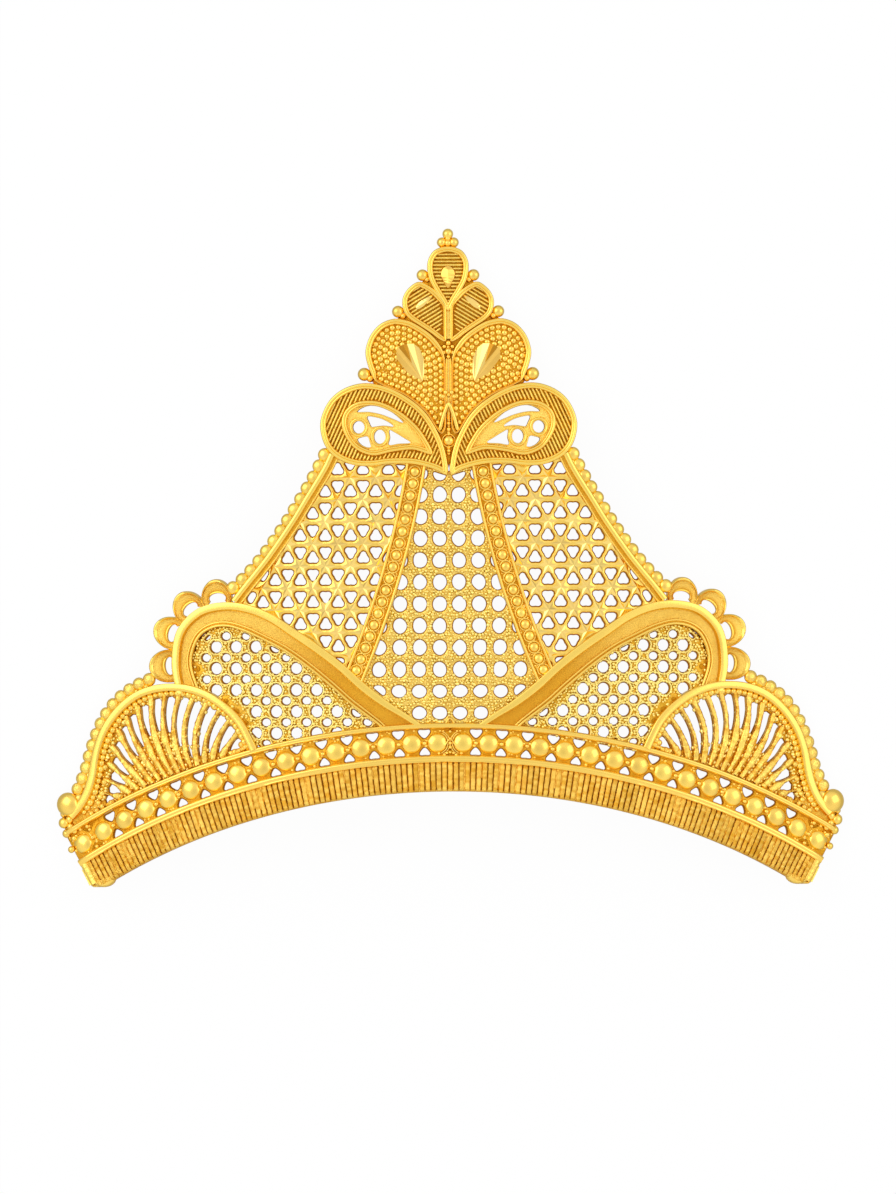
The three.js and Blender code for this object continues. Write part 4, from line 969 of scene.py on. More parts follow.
class CROWN_OT_balls(bpy.types.Operator):
    """Makes the row of balls, the ornament in its middle and the balls and grains at its ends"""
    bl_idname = "crown.balls"
    bl_label = "Balls"

    def execute(self, context):
        sizes = context.scene.crown_band
        self.ball_row(sizes).pair("ball_row", POLISHED)
        work = Metalwork(22)
        work.grains([(66.75, 14.15, 1.5)], sizes.end_ball_radius, 36, squash=0.6)
        work.pair("end_ball", POLISHED)
        work = Metalwork(23)
        seat = [(61.0, 13.2), (64.6, 11.0), (67.7, 9.4), (68.5, 12.4), (67.4, 13.8), (65.6, 15.9),
                (63.8, 17.4)]
        work.sheet(even(np.array(seat), 0.7, True), [], 0.1, 0.75, 0.2, SATIN, lift=0.2)
        for grain in END_GRAINS:
            work.grains([(*grain["at"], 1.0)], grain["radius"], 16, 10, squash=0.8)
        work.pair("end_grains", POLISHED)
        self.boss()
        return {"FINISHED"}

    def ball_row(self, sizes):
        work = Metalwork(21)
        end = BALLS_A_SIDE * BALL_STEP
        strip = np.vstack((band_arc(133.8, 0, end), band_arc(128.9, end, 0)))
        upper, lower = ((133.4, 132.8, 132.05), (129.25, 129.75, 130.45))
        holes = []
        for middle in np.arange(1, BALLS_A_SIDE - 1) * BALL_STEP:
            for (base, waist, tip), half in ((upper, 0.44), (lower, 0.39)):
                radii = np.array((base, base, base, waist, tip, waist))
                degrees = middle + half * np.array((-0.92, 0, 0.92, 0.84, 0, -0.84))
                holes.append(smooth(on_band(radii, degrees), 0.25, True))
        # The strip between the balls is painted near the crevice shade, and the walls of its openings in dark
        # hollow shade.
        work.sheet(strip, holes, 0.05, 0.75, 0.25, SATIN, lift=0.1, edge=-0.7)
        centres = on_band(BALL_RING, (np.arange(BALLS_A_SIDE) + 0.5) * BALL_STEP)
        work.grains(raised(centres, 0.5), sizes.ball_radius, 36, squash=0.5)
        # Loose grains and traces of solder on the strip.
        loose = on_band(work.random.uniform(129.3, 133.5, 420), work.random.uniform(0.4, end - 0.1, 420))
        gaps = np.linalg.norm(loose[:, None] - centres[None], axis=2).min(1)
        clear = np.min([nearest(hole, loose)[0] for hole in holes], axis=0) > 0.3
        held = inside([strip] + holes, loose)
        loose = loose[(gaps > 1.65) & clear & held]
        work.grains(raised(loose, 0.72), work.random.uniform(0.16, 0.34, len(loose)), 8, squash=0.8)
        # The outermost openings are closed with sheets painted in dark hollow shade.
        outermost = (BALLS_A_SIDE - 1) * BALL_STEP
        for base, tip in ((133.3, 132.3), (129.4, 130.3)):
            corners = on_band(np.array((base, base, base, tip)), outermost + np.array((-0.5, 0, 0.5, 0)))
            work.sheet(smooth(corners, 0.3, True), [], 0.5, 0.8, 0.05, SATIN, lift=-0.8)
        between = on_band(BALL_RING, np.arange(1, BALLS_A_SIDE) * BALL_STEP)
        work.grains(raised(between, 0.9), 0.42, 10)
        pins = on_band(np.array((BALL_RING - 1.75, BALL_RING + 2.1)), outermost)
        work.grains(raised(pins, 0.9), 0.4, 10)
        return work

    def boss(self):
        work = Metalwork(24)
        upper = [(-1.9, 26.1), (-0.9, 25.2), (0, 24.5), (0.9, 25.2), (1.9, 26.1), (0, 26.6)]
        lower = [(-1.5, 22.2), (1.5, 22.2), (0.5, 23.4), (-0.5, 23.4)]
        # The plates under the boss's wires and grains are painted in dark shade.
        for plate in (upper, lower):
            work.sheet(plate, [], 0, 0.9, 0.2, SATIN, lift=-0.45)
        for side in SIDES.values():
            for radius in (1.82, 2.14):
                turn = np.radians(np.linspace(-62, 62, 14))
                centre = on_band(BALL_RING, [BALL_STEP / 2 * side])[0]
                arc = np.column_stack((-side * np.cos(turn), np.sin(turn))) * radius + centre
                work.wire(arc, 0.11, 0.9, sides=6, finish=SATIN)
        work.grains([(0, 25.1, 1.2), (0, 24.35, 1.2), (0, 23.65, 1.2), (0, 26.3, 1.2)], 0.3, 10)
        turn = np.radians(np.linspace(-60, 60, 5))
        fan = np.column_stack((np.sin(turn) * 1.1, 21.9 + np.cos(turn) * 0.9, np.full(5, 1.1)))
        work.grains(fan, 0.27, 10)
        work.wire(smooth([(-0.8, 27.5), (-0.35, 28.3), (0, 28.5), (0.35, 28.3), (0.8, 27.5)], 0.3), 0.2, 1.1)
        work.wire(smooth([(-0.9, 23.9), (-0.25, 24.9), (0, 25.0), (0.25, 24.9), (0.9, 23.9)], 0.3), 0.14, 1.0)
        work.place("centre_boss", SATIN)


# ------------------------------------------------------------------ fans and scrolls


class CROWN_OT_fans(bpy.types.Operator):
    """Makes the fan at each end of the band: its frame, ribs and outer beads"""
    bl_idname = "crown.fans"
    bl_label = "Fans"

    def execute(self, context):
        work = Metalwork(31)
        frame_line = smooth(FAN_FRAME, 0.8)
        share = np.linspace(0, 1, len(frame_line))
        half = np.interp(share, (0, 0.75, 0.85, 1), (0.62, 0.62, 0.72, 0.62))
        wide = leftward(frame_line, False) * half[:, None]
        work.bar(frame_line + wide, frame_line - wide, domed(2.0, 0.92, 9))
        work.pair("fan_frame", POLISHED)
        self.ribs().pair("fan_ribs", SATIN)
        work = Metalwork(33)
        beads = even(smooth(FAN_BEADS, 0.3), 2.0)
        work.grains(raised(beads, 0.9), 1.15, 20, 14, finish=SATIN, squash=0.6)
        inner = beside(beads, 0.9)
        work.grains(raised((inner[1:] + inner[:-1]) / 2, 0.8), 0.5, 10, finish=SATIN)
        work.pair("fan_beads", POLISHED)
        return {"FINISHED"}

    def ribs(self):
        work = Metalwork(32)
        count = 22
        reach = np.linspace(0, 1, count + 1)
        lines, slots, halves = [], [], []
        for slot in FAN_SLOTS:
            line = even(bezier((slot["tip"], slot["pull"], slot["foot"]), 0.4), 1, count=count)
            open_share = np.clip(1 - reach / slot["opened"], 0, 1)
            half = 0.1 + 0.64 * (1 - (1 - open_share) ** 2.0)
            rows = np.flatnonzero(reach < slot["opened"])
            wide = leftward(line, False) * half[:, None]
            cap = line[0] + (line[0] - line[1]) / np.linalg.norm(line[0] - line[1]) * 0.3
            slots.append(even(np.vstack((cap, (line - wide)[rows], (line + wide)[rows][::-1])), 0.35, True))
            lines.append(line)
            halves.append(half)
        frame = smooth(FAN_FRAME, 1.0)
        outline = np.vstack((frame[:-3][::-1], band_arc(134.0, 14.2, 29.0)))
        work.sheet(outline, slots, 0, 0.5, 0.2, SATIN, lift=0.1, edge=-0.8)
        granulated(work, outline, slots, 0.74, 0.5, least=0.85)
        # Each rib runs midway between two slots, and fills the room between them.
        lines = [2 * lines[0] - lines[1]] + lines + [2 * lines[-1] - lines[-2]]
        halves = [halves[0]] + halves + [halves[-1]]
        for one, other, half, far in zip(lines, lines[1:], halves, halves[1:]):
            middle = (one + other) / 2
            ahead = (middle[0] - middle[2]) / np.linalg.norm(middle[0] - middle[2])
            room = np.linalg.norm(other - one, axis=1) / 2 - (half + far) / 2 - 0.09
            middle = np.vstack((middle[0] + ahead * np.array((1.1, 0.55))[:, None], middle))
            wide = np.clip(np.concatenate(([room[0] * 0.8, room[0]], room)), 0.14, 0.62)
            wide = leftward(middle, False) * wide[:, None]
            kept = inside(outline, middle)
            if kept.sum() > 4:
                section = domed(1.3, 0.66, 7)
                # Painted shade across each rib, darker towards its sides, with a random tone along it.
                painted_shades = np.clip(0.5 + work.random.normal(0, 0.15, (kept.sum(), 1)), 0, 1)
                painted_shades = painted_shades * (0, 0.5, 0.8, 0.95, 1, 0.95, 0.8, 0.5, 0)
                work.bar((middle + wide)[kept], (middle - wide)[kept], section, finish=SATIN, rough=0.1,
                         lift=painted_shades.ravel())
        flank = even(beside(frame, -1.02), 1.0)
        flank = flank[inside(outline, flank)]
        work.grains(raised(flank, 0.85), work.random.normal(0.62, 0.06, len(flank)), 12, least=0.45)
        corner = np.array([(61.3, 14.4), (60.6, 13.8), (61.6, 13.1), (62.6, 12.6), (61.0, 15.4), (60.6, 16.0),
                           (60.2, 17.9), (60.0, 20.4), (35.6, 24.2), (34.9, 23.8)])
        work.grains(raised(corner, 0.9), 0.55, 10, finish=SATIN)
        return work


class CROWN_OT_scrolls(bpy.types.Operator):
    """Makes the broad hooked frames with their sunk floors, and the cupped rings outside them"""
    bl_idname = "crown.scrolls"
    bl_label = "Scrolls"

    def execute(self, context):
        self.frame().pair("scroll_frame", MATT)
        for number, cup in enumerate(SCALLOPS, 1):
            self.scallop(cup, 42 + number).pair(f"scallop_{number}", POLISHED)
        return {"FINISHED"}

    def frame(self):
        work = Metalwork(41)
        edges = smooth([row["outer"] + row["inner"] for row in SCROLL], 1.0)
        outer, inner = edges[:, :2], edges[:, 2:]
        width = np.linalg.norm(inner - outer, axis=1)[:, None]
        lean = (inner - outer) / width

        def lane(depth, share):
            return outer + lean * np.minimum(depth, width * share)

        def back(depth, share):
            return inner - lean * np.minimum(depth, width * share)

        dish = [(0, 0), (0, 1.05), (0.25, 0.98), (0.5, 0.95), (0.75, 0.98), (1, 1.05), (1, 0)]
        # The floor is deeper in colour towards the tail.
        depth = np.interp(np.linspace(0, 1, len(outer)), (0, 0.5, 0.8, 1), (0.45, 0.35, 0.0, -0.15))
        work.bar(outer, inner, dish, finish=MATT, tone=0.3, lift=np.repeat(depth, len(dish)))
        # The groove lane and the back strip are painted in hollow shade.
        work.bar(lane(1.15, 0.42), lane(1.5, 0.55), slab(1.1), finish=SATIN, lift=-0.15)
        work.bar(outer, lane(1.25, 0.45), domed(1.8, 0.94, 9))
        work.bar(back(0.95, 0.38), inner, slab(1.15), lift=-0.1)
        work.wire(back(0.22, 0.12), np.minimum(0.25, width[:, 0] * 0.2), 1.3, squash=1.4)
        work.wire(back(0.78, 0.32), np.minimum(0.2, width[:, 0] * 0.2), 1.2, squash=1.4)
        return work

    def scallop(self, cup, seed):
        """An open cup: a bright lip, a matt face that slopes in, and an opening by the frame."""
        work = Metalwork(seed)
        turn = np.radians(np.linspace(-120, 120, 40))
        heading, across = axes(cup["facing"])

        def arc(reach, half, ahead):
            along_cup = np.cos(turn)[:, None] * reach + ahead
            return cup["centre"] + heading * along_cup + across * np.sin(turn)[:, None] * half

        outer, inner = arc(cup["reach"], cup["half"], 0), arc(0.85, 1.5, 0.05)
        section = [(0, 0), (0, 0.95), (0.05, 1.28), (0.14, 1.4), (0.22, 1.28), (0.27, 1.02), (0.45, 0.8),
                   (0.65, 0.62), (0.86, 0.5), (0.92, 0.6), (0.98, 0.55), (1, 0.3), (1, 0)]
        shine = [POLISHED] * 5 + [MATT] * 3 + [POLISHED] * 5
        # Painted shade: the lip is lightest, and the face darkens towards the opening by the frame.
        lift = np.tile((0, 0.6, 1, 1, 0.9, 0.55, 0.5, 0.4, 0.05, 0.5, 0.6, 0.2, 0), len(outer))
        work.bar(outer, inner, section, finish=shine, lift=lift)
        return work


# ------------------------------------------------------------------ pierced panels


class CROWN_OT_lattices(bpy.types.Operator):
    """Makes the round-hole lattices inside the scrolls"""
    bl_idname = "crown.lattices"
    bl_label = "Scroll Lattices"

    def execute(self, context):
        sizes = context.scene.crown_mesh
        region = even(np.array(LATTICE), 0.8, True)
        room = inset(region, 0.75, 0.8)
        column, row = (grid.ravel() for grid in np.meshgrid(np.arange(-1, 11), np.arange(-1, 6)))
        step = np.array(LATTICE_STEP)
        big = LATTICE_START + np.column_stack((column, row)) * step
        small = big + step / 2
        hole = sizes.lattice_hole
        holes = openings([ring(place, (hole, hole), count=16) for place in big], room)
        holes += openings([ring(place, (hole * 0.78, hole * 0.67), count=14) for place in small], room)
        # By the hook and by the fan the openings stay closed, each filled with a small sheet painted in dark
        # hollow shade.
        frame_line = smooth(FAN_FRAME, 0.8)
        middles = [line.mean(0) for line in holes]
        fan_gaps = [np.linalg.norm(frame_line - middle, axis=1).min() for middle in middles]
        closed = [gap < FAN_MARGIN or middle[0] > HOOK_SIDE for gap, middle in zip(fan_gaps, middles)]
        shut = [line for line, filled in zip(holes, closed) if filled]
        holes = [line for line, filled in zip(holes, closed) if not filled]
        work = Metalwork(51)
        # The walls of the openings are painted in dark hollow shade.
        work.sheet(region, holes, 0, 0.55, 0.26, GRAINED, lift=0.1, edge=-0.85)
        for line in shut:
            work.sheet(line.mean(0) + (line - line.mean(0)) * 0.55, [], 0.4, 0.72, 0.05, SATIN, lift=-0.6)
        for line in holes:
            collar = beside(facing(line, 1), -0.34, True)
            work.wire(collar, 0.15, 0.72, 6, True, finish=GRAINED, least=0.8)
        granulated(work, region, holes + shut, 0.56, 0.6)
        work.pair("lattice", SATIN)
        return {"FINISHED"}


class CROWN_OT_star_meshes(bpy.types.Operator):
    """Makes the triangular star meshes of the upper sides"""
    bl_idname = "crown.star_meshes"
    bl_label = "Star Meshes"

    def execute(self, context):
        size = context.scene.crown_mesh.star_hole
        region = even(np.array(STAR_MESH), 0.8, True)
        room = inset(region, 0.75, 0.8)
        column, row = (grid.ravel() for grid in np.meshgrid(np.arange(-1, 9), np.arange(-1, 10)))
        across, up = STAR_STEP
        u = STAR_START[0] + column * across + (row % 2) * across / 2
        v = STAR_START[1] + row * up
        # Rounded triangles, pointing up over each row of strands and down under it.
        turn = np.linspace(0, 2 * math.pi, 18, endpoint=False)
        reach = (1 + 0.2 * np.cos(3 * turn)) * size
        triangle = np.column_stack((np.sin(turn) * reach, np.cos(turn) * reach))
        shapes = [place + triangle for place in np.column_stack((u, v + 1.38))]
        shapes += [place - triangle for place in np.column_stack((u, v - 1.38))]
        stars = np.column_stack((u + across / 2, v))
        stars = stars[inside(inset(region, 0.3), stars)]
        work = Metalwork(61)
        holes = openings(shapes, room)
        work.sheet(region, holes, 0, 0.85, 0.28, POLISHED, lift=0.75)
        for place in stars:
            self.star(work, place, region)
        work.pair("star_mesh", POLISHED)
        return {"FINISHED"}

    def star(self, work, place, region):
        """Six bright-cut arms that run out along the strands."""
        points = ring((0, 0), (1, 1), 12) * np.tile((2.05, 0.95), 6)[:, None]
        points = points * work.random.normal(1, 0.1, (12, 1))
        free = inside(region, place + points * 1.25)
        points = place + points * np.where(free, 1, 0.35)[:, None]
        top = work.random.normal(1.2, 0.06)
        upper, lower = raised(points, np.tile((0.8, 0.74), 6)), raised(points, 0.3)
        base = np.vstack((upper, lower, [(*place, top), (*place, 0.3)]))
        fan = [(k, (k + 1) % 12, 24) for k in range(12)]
        fan += [(12 + (k + 1) % 12, 12 + k, 25) for k in range(12)]
        walls = [(k, 12 + k, 12 + (k + 1) % 12, (k + 1) % 12) for k in range(12)]
        work.add(base, walls, fan, CUT, lift=0.8)


class CROWN_OT_centre_mesh(bpy.types.Operator):
    """Makes the grained round-hole panel in the middle"""
    bl_idname = "crown.centre_mesh"
    bl_label = "Middle Panel"

    def execute(self, context):
        sizes = context.scene.crown_mesh
        half = np.array(CENTRE_MESH)
        region = even(np.vstack((half, mirrored(half[1:-1]))), 0.8, True)
        room = inset(region, 0.85, 0.8)
        column, row = (grid.ravel() for grid in np.meshgrid(np.arange(-5, 5) + 0.5, np.arange(13)))
        across, up = MIDDLE_STEP
        v = MIDDLE_START[1] + row * up
        # The columns draw together a little towards the crest.
        u = MIDDLE_START[0] + column * across * (1 - 0.0022 * (v - 33))
        centres = np.column_stack((u, v))
        work = Metalwork(71)
        hole = sizes.round_hole
        # The openings get lower and wider towards the band.
        shapes = []
        for place in centres:
            low = np.interp(place[1], (29, 31, 35, 37), (1, 1, 0.8, 0))
            size = (hole * (0.93 + 0.06 * low), hole * (1.05 - 0.2 * low))
            uneven = work.random.normal(1, 0.035, (8, 1))
            shapes.append(smooth(place + (ring(place, size, 8) - place) * uneven, 0.35, True))
        holes = openings(shapes, room)
        work.sheet(region, holes, 0, 0.5, 0.22, GRAINED, lift=0.3, edge=-0.9)
        granulated(work, region, holes, 0.56, 0.56, least=0.95, margin=0.45)
        work.place("centre_mesh", SATIN)
        return {"FINISHED"}


# ------------------------------------------------------------------ channels and side edges


class CROWN_OT_channels(bpy.types.Operator):
    """Makes the slanting channels and their beads"""
    bl_idname = "crown.channels"
    bl_label = "Bead Channels"

    def execute(self, context):
        line = bezier(CHANNEL, 1.0)
        work = Metalwork(81)
        # The channel's floor and its grains are painted in crevice shade.
        work.bar(beside(line, 1.6), beside(line, -1.6), slab(0.9), finish=SATIN, tone=0.1, lift=-0.1)
        floor = np.vstack((beside(line, 1.25), beside(line, -1.25)[::-1]))
        granulated(work, floor, [], 0.48, 0.72, SATIN, 0.1)
        for reach in (-1.45, 1.45):
            work.bar(beside(line, reach + 0.28), beside(line, reach - 0.28), domed(1.7, 0.75, 7))
        work.pair("bead_channel", SATIN)
        work = Metalwork(82)
        beads = even(bezier(((15.8, 36.6), (8.6, 53.5), (5.75, 70)), 0.5), 2.0, count=17)
        work.grains(raised(beads, 1.1), 0.82, 18, squash=0.62)
        for bead in beads:
            work.wire(ring(bead, (0.98, 0.98), count=20), 0.16, 1.0, sides=6, closed=True, finish=SATIN)
        work.pair("channel_beads", POLISHED)
        return {"FINISHED"}


class CROWN_OT_side_edges(bpy.types.Operator):
    """Makes the straight side rails and the beads outside them"""
    bl_idname = "crown.side_edges"
    bl_label = "Side Edges"

    def execute(self, context):
        line = smooth(SIDE_RAIL, 1.0)
        work = Metalwork(91)
        work.bar(beside(line, 0.5), beside(line, -0.5), domed(1.9, 0.84, 7))
        work.bar(beside(line, 1.15), beside(line, 0.4), slab(1.15), finish=SATIN, lift=0.15)
        work.wire(beside(line, 1.1), 0.18, 1.15, finish=SATIN)
        work.pair("side_rail", POLISHED)
        work = Metalwork(92)
        beads = even(smooth(SIDE_BEADS, 0.3), 2.05)
        work.grains(raised(beads, 0.9), 1.17, 20, 14, squash=0.6)
        work.grains(raised((beads[1:] + beads[:-1]) / 2 - (0.6, 0.4), 0.85), 0.5, 10, finish=SATIN)
        work.pair("side_beads", POLISHED)
        return {"FINISHED"}


# ------------------------------------------------------------------ the crest


class CROWN_OT_crest_leaves(bpy.types.Operator):
    """Makes the large lower leaves of the crest and the openwork paisleys in them"""
    bl_idname = "crown.crest_leaves"
    bl_label = "Crest Leaves"

    def execute(self, context):
        sizes = context.scene.crown_crest
        leaf = outlined(CREST_LEAF, 0.6)
        inner = outlined(PAISLEY, 0.5)
        work = Metalwork(101)
        # The floor between the stripes is painted in dark hollow shade.
        work.sheet(leaf, [inset(inner, 0.6, 0.5)], 0, 0.95, 0.1, SATIN, lift=-0.5)
        striped(work, leaf, inner, 115, sizes.stripe, sizes.rim * 0.8, 1.25)
        rim(work, leaf, sizes.rim, 2.15)
        work.pair("crest_leaf", SATIN)
        work = Metalwork(102)
        holes = [ring(gap["centre"], gap["half"], count=20) for gap in PAISLEY_RINGS]
        holes += [smooth(slot, 0.3, True) for slot in PAISLEY_SLOTS]
        work.sheet(inner, holes, 0.2, 1.6, 0.15, MATT, lift=0.6)
        for hole in holes:
            work.wire(beside(facing(hole, 1), -0.1, True), 0.12, 1.6, sides=6, closed=True)
        for gap in PAISLEY_RINGS:
            wide = [half + 0.36 for half in gap["half"]]
            work.wire(ring(gap["centre"], wide), 0.2, 1.65, closed=True)
        rim(work, inner, 0.9, 2.4)
        work.pair("paisley", POLISHED)
        return {"FINISHED"}


class CROWN_OT_lobes(bpy.types.Operator):
    """Makes the granulated upper lobes, the cut leaf set in each, and the beads on their outline"""
    bl_idname = "crown.lobes"
    bl_label = "Crest Lobes"

    def execute(self, context):
        sizes = context.scene.crown_crest
        lobe = outlined(CREST_LOBE, 0.6)
        leaf = outlined(CREST_LEAF, 0.6)
        stone = facing(np.array(LOBE_STONE), 1)
        work = Metalwork(111)
        # The floor between the grains is painted in crevice shade.
        work.sheet(lobe, [], 0, 1.05, 0.1, SATIN, lift=0)
        # The rim is thin where the lobe meets the lower leaf and the stem.
        gaps = np.minimum(nearest(leaf, lobe)[0], lobe[:, 0])
        share = np.interp(gaps, (0.5, 1.5), (0.4, 1.0))
        grain = sizes.grain
        room = inset(lobe, sizes.rim * share - 0.1, 0.5)
        big = packed(room, grain * 2.12, grain * 0.95, stone)
        sizes_here = grain * work.random.normal(1, 0.05, len(big))
        work.grains(raised(big, 1.15), sizes_here, 14, squash=0.66, least=0.6)
        fine = packed(room, grain * 1.2, 0.2, stone)
        clear = np.linalg.norm(fine[:, None] - big[None], axis=2).min(1) > grain * 1.1
        work.grains(raised(fine[clear], 1.15), 0.2, 8, finish=SATIN)
        rim(work, lobe, sizes.rim * 0.95, 2.1, share=share)
        work.pair("crest_lobe", SATIN)
        self.stone().pair("lobe_stone", POLISHED)
        for name, knob in KNOBS.items():
            work = Metalwork(113)
            work.grains([(*knob["bead"], 1.0)], knob["radius"], 20, squash=0.8)
            work.grains([(*knob["grain"], 0.9)], knob["small"], 12)
            work.pair(name, POLISHED)
        return {"FINISHED"}

    def stone(self):
        """A leaf of three long facets that fan out from its tip, the outer ones tilted outwards."""
        work = Metalwork(112)
        tip = (4.35, 85.2, 1.7)
        high, low = (6.9, 91.5, 2.15), (8.3, 90.85, 1.85)
        join = (6.1, 88.2, 2.0)
        left = [tip, (4.05, 86.6, 1.5), (4.15, 89.1, 1.45), (4.9, 90.8, 1.5), (5.8, 91.5, 1.7), high, join]
        wedge = [join, high, (7.6, 91.3, 1.9), low]
        right = [tip, join, low, (8.7, 90.2, 1.55), (8.6, 88.9, 1.5), (6.8, 86.5, 1.5)]
        # Painted light and shade on the facets: the left one is painted light, the right one a half shade,
        # and the middle wedge dark hollow shade.
        for facet, lift in ((left, 0.9), (wedge, -0.7), (right, 0.25)):
            top = np.array(facet)
            count = len(top)
            points = np.vstack((top, top * (1, 1, 0) + (0, 0, 1.0)))
            walls = [(k, count + k, count + (k + 1) % count, (k + 1) % count) for k in range(count)]
            lids = [(0, k, k + 1) for k in range(1, count - 1)]
            lids += [(count, count + k + 1, count + k) for k in range(1, count - 1)]
            work.add(points, walls, lids, CUT, lift)
        return work


def faceted(outline, ridge, low, girdle, high):
    """A leaf with flat facets that rise from its edge to a ridge."""
    count, steps = len(outline), len(ridge)
    points = np.vstack((raised(outline, low), raised(outline, girdle), raised(ridge, high),
                        raised(outline.mean(0), low)))
    near = np.linalg.norm(outline[:, None] - ridge[None], axis=2).argmin(1)
    tris, quads = [], []
    for k in range(count):
        after = (k + 1) % count
        quads.append((k, after, count + after, count + k))
        tris.append((count + k, count + after, 2 * count + near[after]))
        tris.append((after, k, 2 * count + steps))
        stride = 1 if near[after] > near[k] else -1
        for rung in range(near[k], near[after], stride):
            tris.append((count + k, 2 * count + rung + stride, 2 * count + rung))
    return points, quads, tris


class CROWN_OT_upper_leaves(bpy.types.Operator):
    """Makes the striped leaves below the top drop"""
    bl_idname = "crown.upper_leaves"
    bl_label = "Upper Leaves"

    def execute(self, context):
        sizes = context.scene.crown_crest
        leaf = outlined(UPPER_LEAF, 0.5)
        cut = [(2.6, 99.6), (3.6, 98.3), (4.6, 97.5), (5.4, 97.3), (5.2, 98.1), (4.1, 99.0)]
        cut = outlined(cut, 0.4)
        work = Metalwork(121)
        # The floor between the stripes is painted in dark hollow shade.
        work.sheet(leaf, [], 0, 0.85, 0.1, SATIN, lift=-0.5)
        striped(work, leaf, cut, 149, sizes.stripe, 0.75, 1.15)
        share = np.interp(leaf[:, 0], (0.4, 1.4), (0.6, 1.0))
        rim(work, leaf, 0.9, 2.0, share=share)
        ridge = smooth([(3.2, 99.1), (5.0, 97.7)], 0.5)
        work.add(*faceted(cut, ridge, 0.9, 1.3, 1.5), finish=CUT, lift=0.8)
        work.pair("upper_leaf", SATIN)
        return {"FINISHED"}


class CROWN_OT_crest_middle(bpy.types.Operator):
    """Makes the crest's stem, its drop-shaped top and the finial"""
    bl_idname = "crown.crest_middle"
    bl_label = "Crest Middle"

    def execute(self, context):
        self.stem()
        self.drop(context.scene.crown_crest)
        work = Metalwork(133)
        work.grains([(0, 109.91, 1.0)], 0.92, 20)
        work.grains([(-1.0, 108.5, 0.9), (1.0, 108.5, 0.9)], 0.86, 18)
        work.grains([(0, 108.4, 1.3), (0, 109.2, 1.2)], (0.62, 0.5), 14)
        work.place("finial", POLISHED)
        return {"FINISHED"}

    def stem(self):
        work = Metalwork(131)
        ground = np.array(CREST_GROUND)
        ground = even(np.vstack((ground, mirrored(ground[1:-1]))), 0.8, True)
        work.sheet(ground, [], 0.1, 0.6, 0.1, SATIN, lift=0.0)
        for low, high, half in ((92.3, 97.2, 0.55), (81.0, 88.9, 0.46)):
            line = np.column_stack((np.zeros(6), np.linspace(low, high, 6)))
            work.bar(line - (half, 0), line + (half, 0), slab(1.3), finish=SATIN)
            for reach in (-half + 0.12, half - 0.12):
                work.wire(line + (reach, 0), 0.16, 1.4, squash=1.5)
        work.wire([(0, 73), (0, 91)], 0.35, 0.9, finish=SATIN)
        middle = [(0, 91.6, 1.3), (0, 90.2, 1.35), (0, 77.1, 1.3), (0, 82.9, 1.4)]
        work.grains(middle, (0.5, 0.65, 0.42, 0.48), 14)
        small = [(0, 89.3), (0, 78.1), (0, 73.5), (-0.7, 91.0), (0.7, 91.0), (-0.75, 90.0), (0.75, 90.0)]
        work.grains(raised(small, 1.25), 0.4, 10)
        work.grains(raised([(-0.95, 82.6), (0.95, 82.6), (-0.5, 83.3), (0.5, 83.3)], 1.8), 0.42, 10)
        for side in SIDES.values():
            work.wire(smooth([(0.1 * side, 81.4), (0.85 * side, 79.4), (1.45 * side, 77.2)], 0.5), 0.34, 1.9)
        work.grains([(0, 75.2, 1.3)], 1.0, 20)
        work.wire(ring((0, 75.2), (1.05, 1.05)), 0.18, 1.0, closed=True)
        work.place("crest_stem", POLISHED)

    def drop(self, sizes):
        work = Metalwork(132)
        drop = outlined(TOP_DROP, 0.5)
        cut = [(0, 104.6), (-0.8, 104.1), (-1.16, 103.1), (-0.7, 101.9), (0, 100.8), (0.7, 101.9),
               (1.16, 103.1), (0.8, 104.1)]
        cut = outlined(cut, 0.4)
        # The floor between the stripes is painted in dark hollow shade.
        work.sheet(drop, [], 0, 0.85, 0.1, SATIN, lift=-0.5)
        striped(work, drop, cut, 0, sizes.stripe, 0.8, 1.15)
        rim(work, drop, 0.95, 2.0)
        work.add(*faceted(cut, smooth([(0, 101.6), (0, 103.9)], 0.5), 0.9, 1.4, 1.75), finish=CUT, lift=0.2)
        work.place("top_drop", SATIN)


# ------------------------------------------------------------------ stage


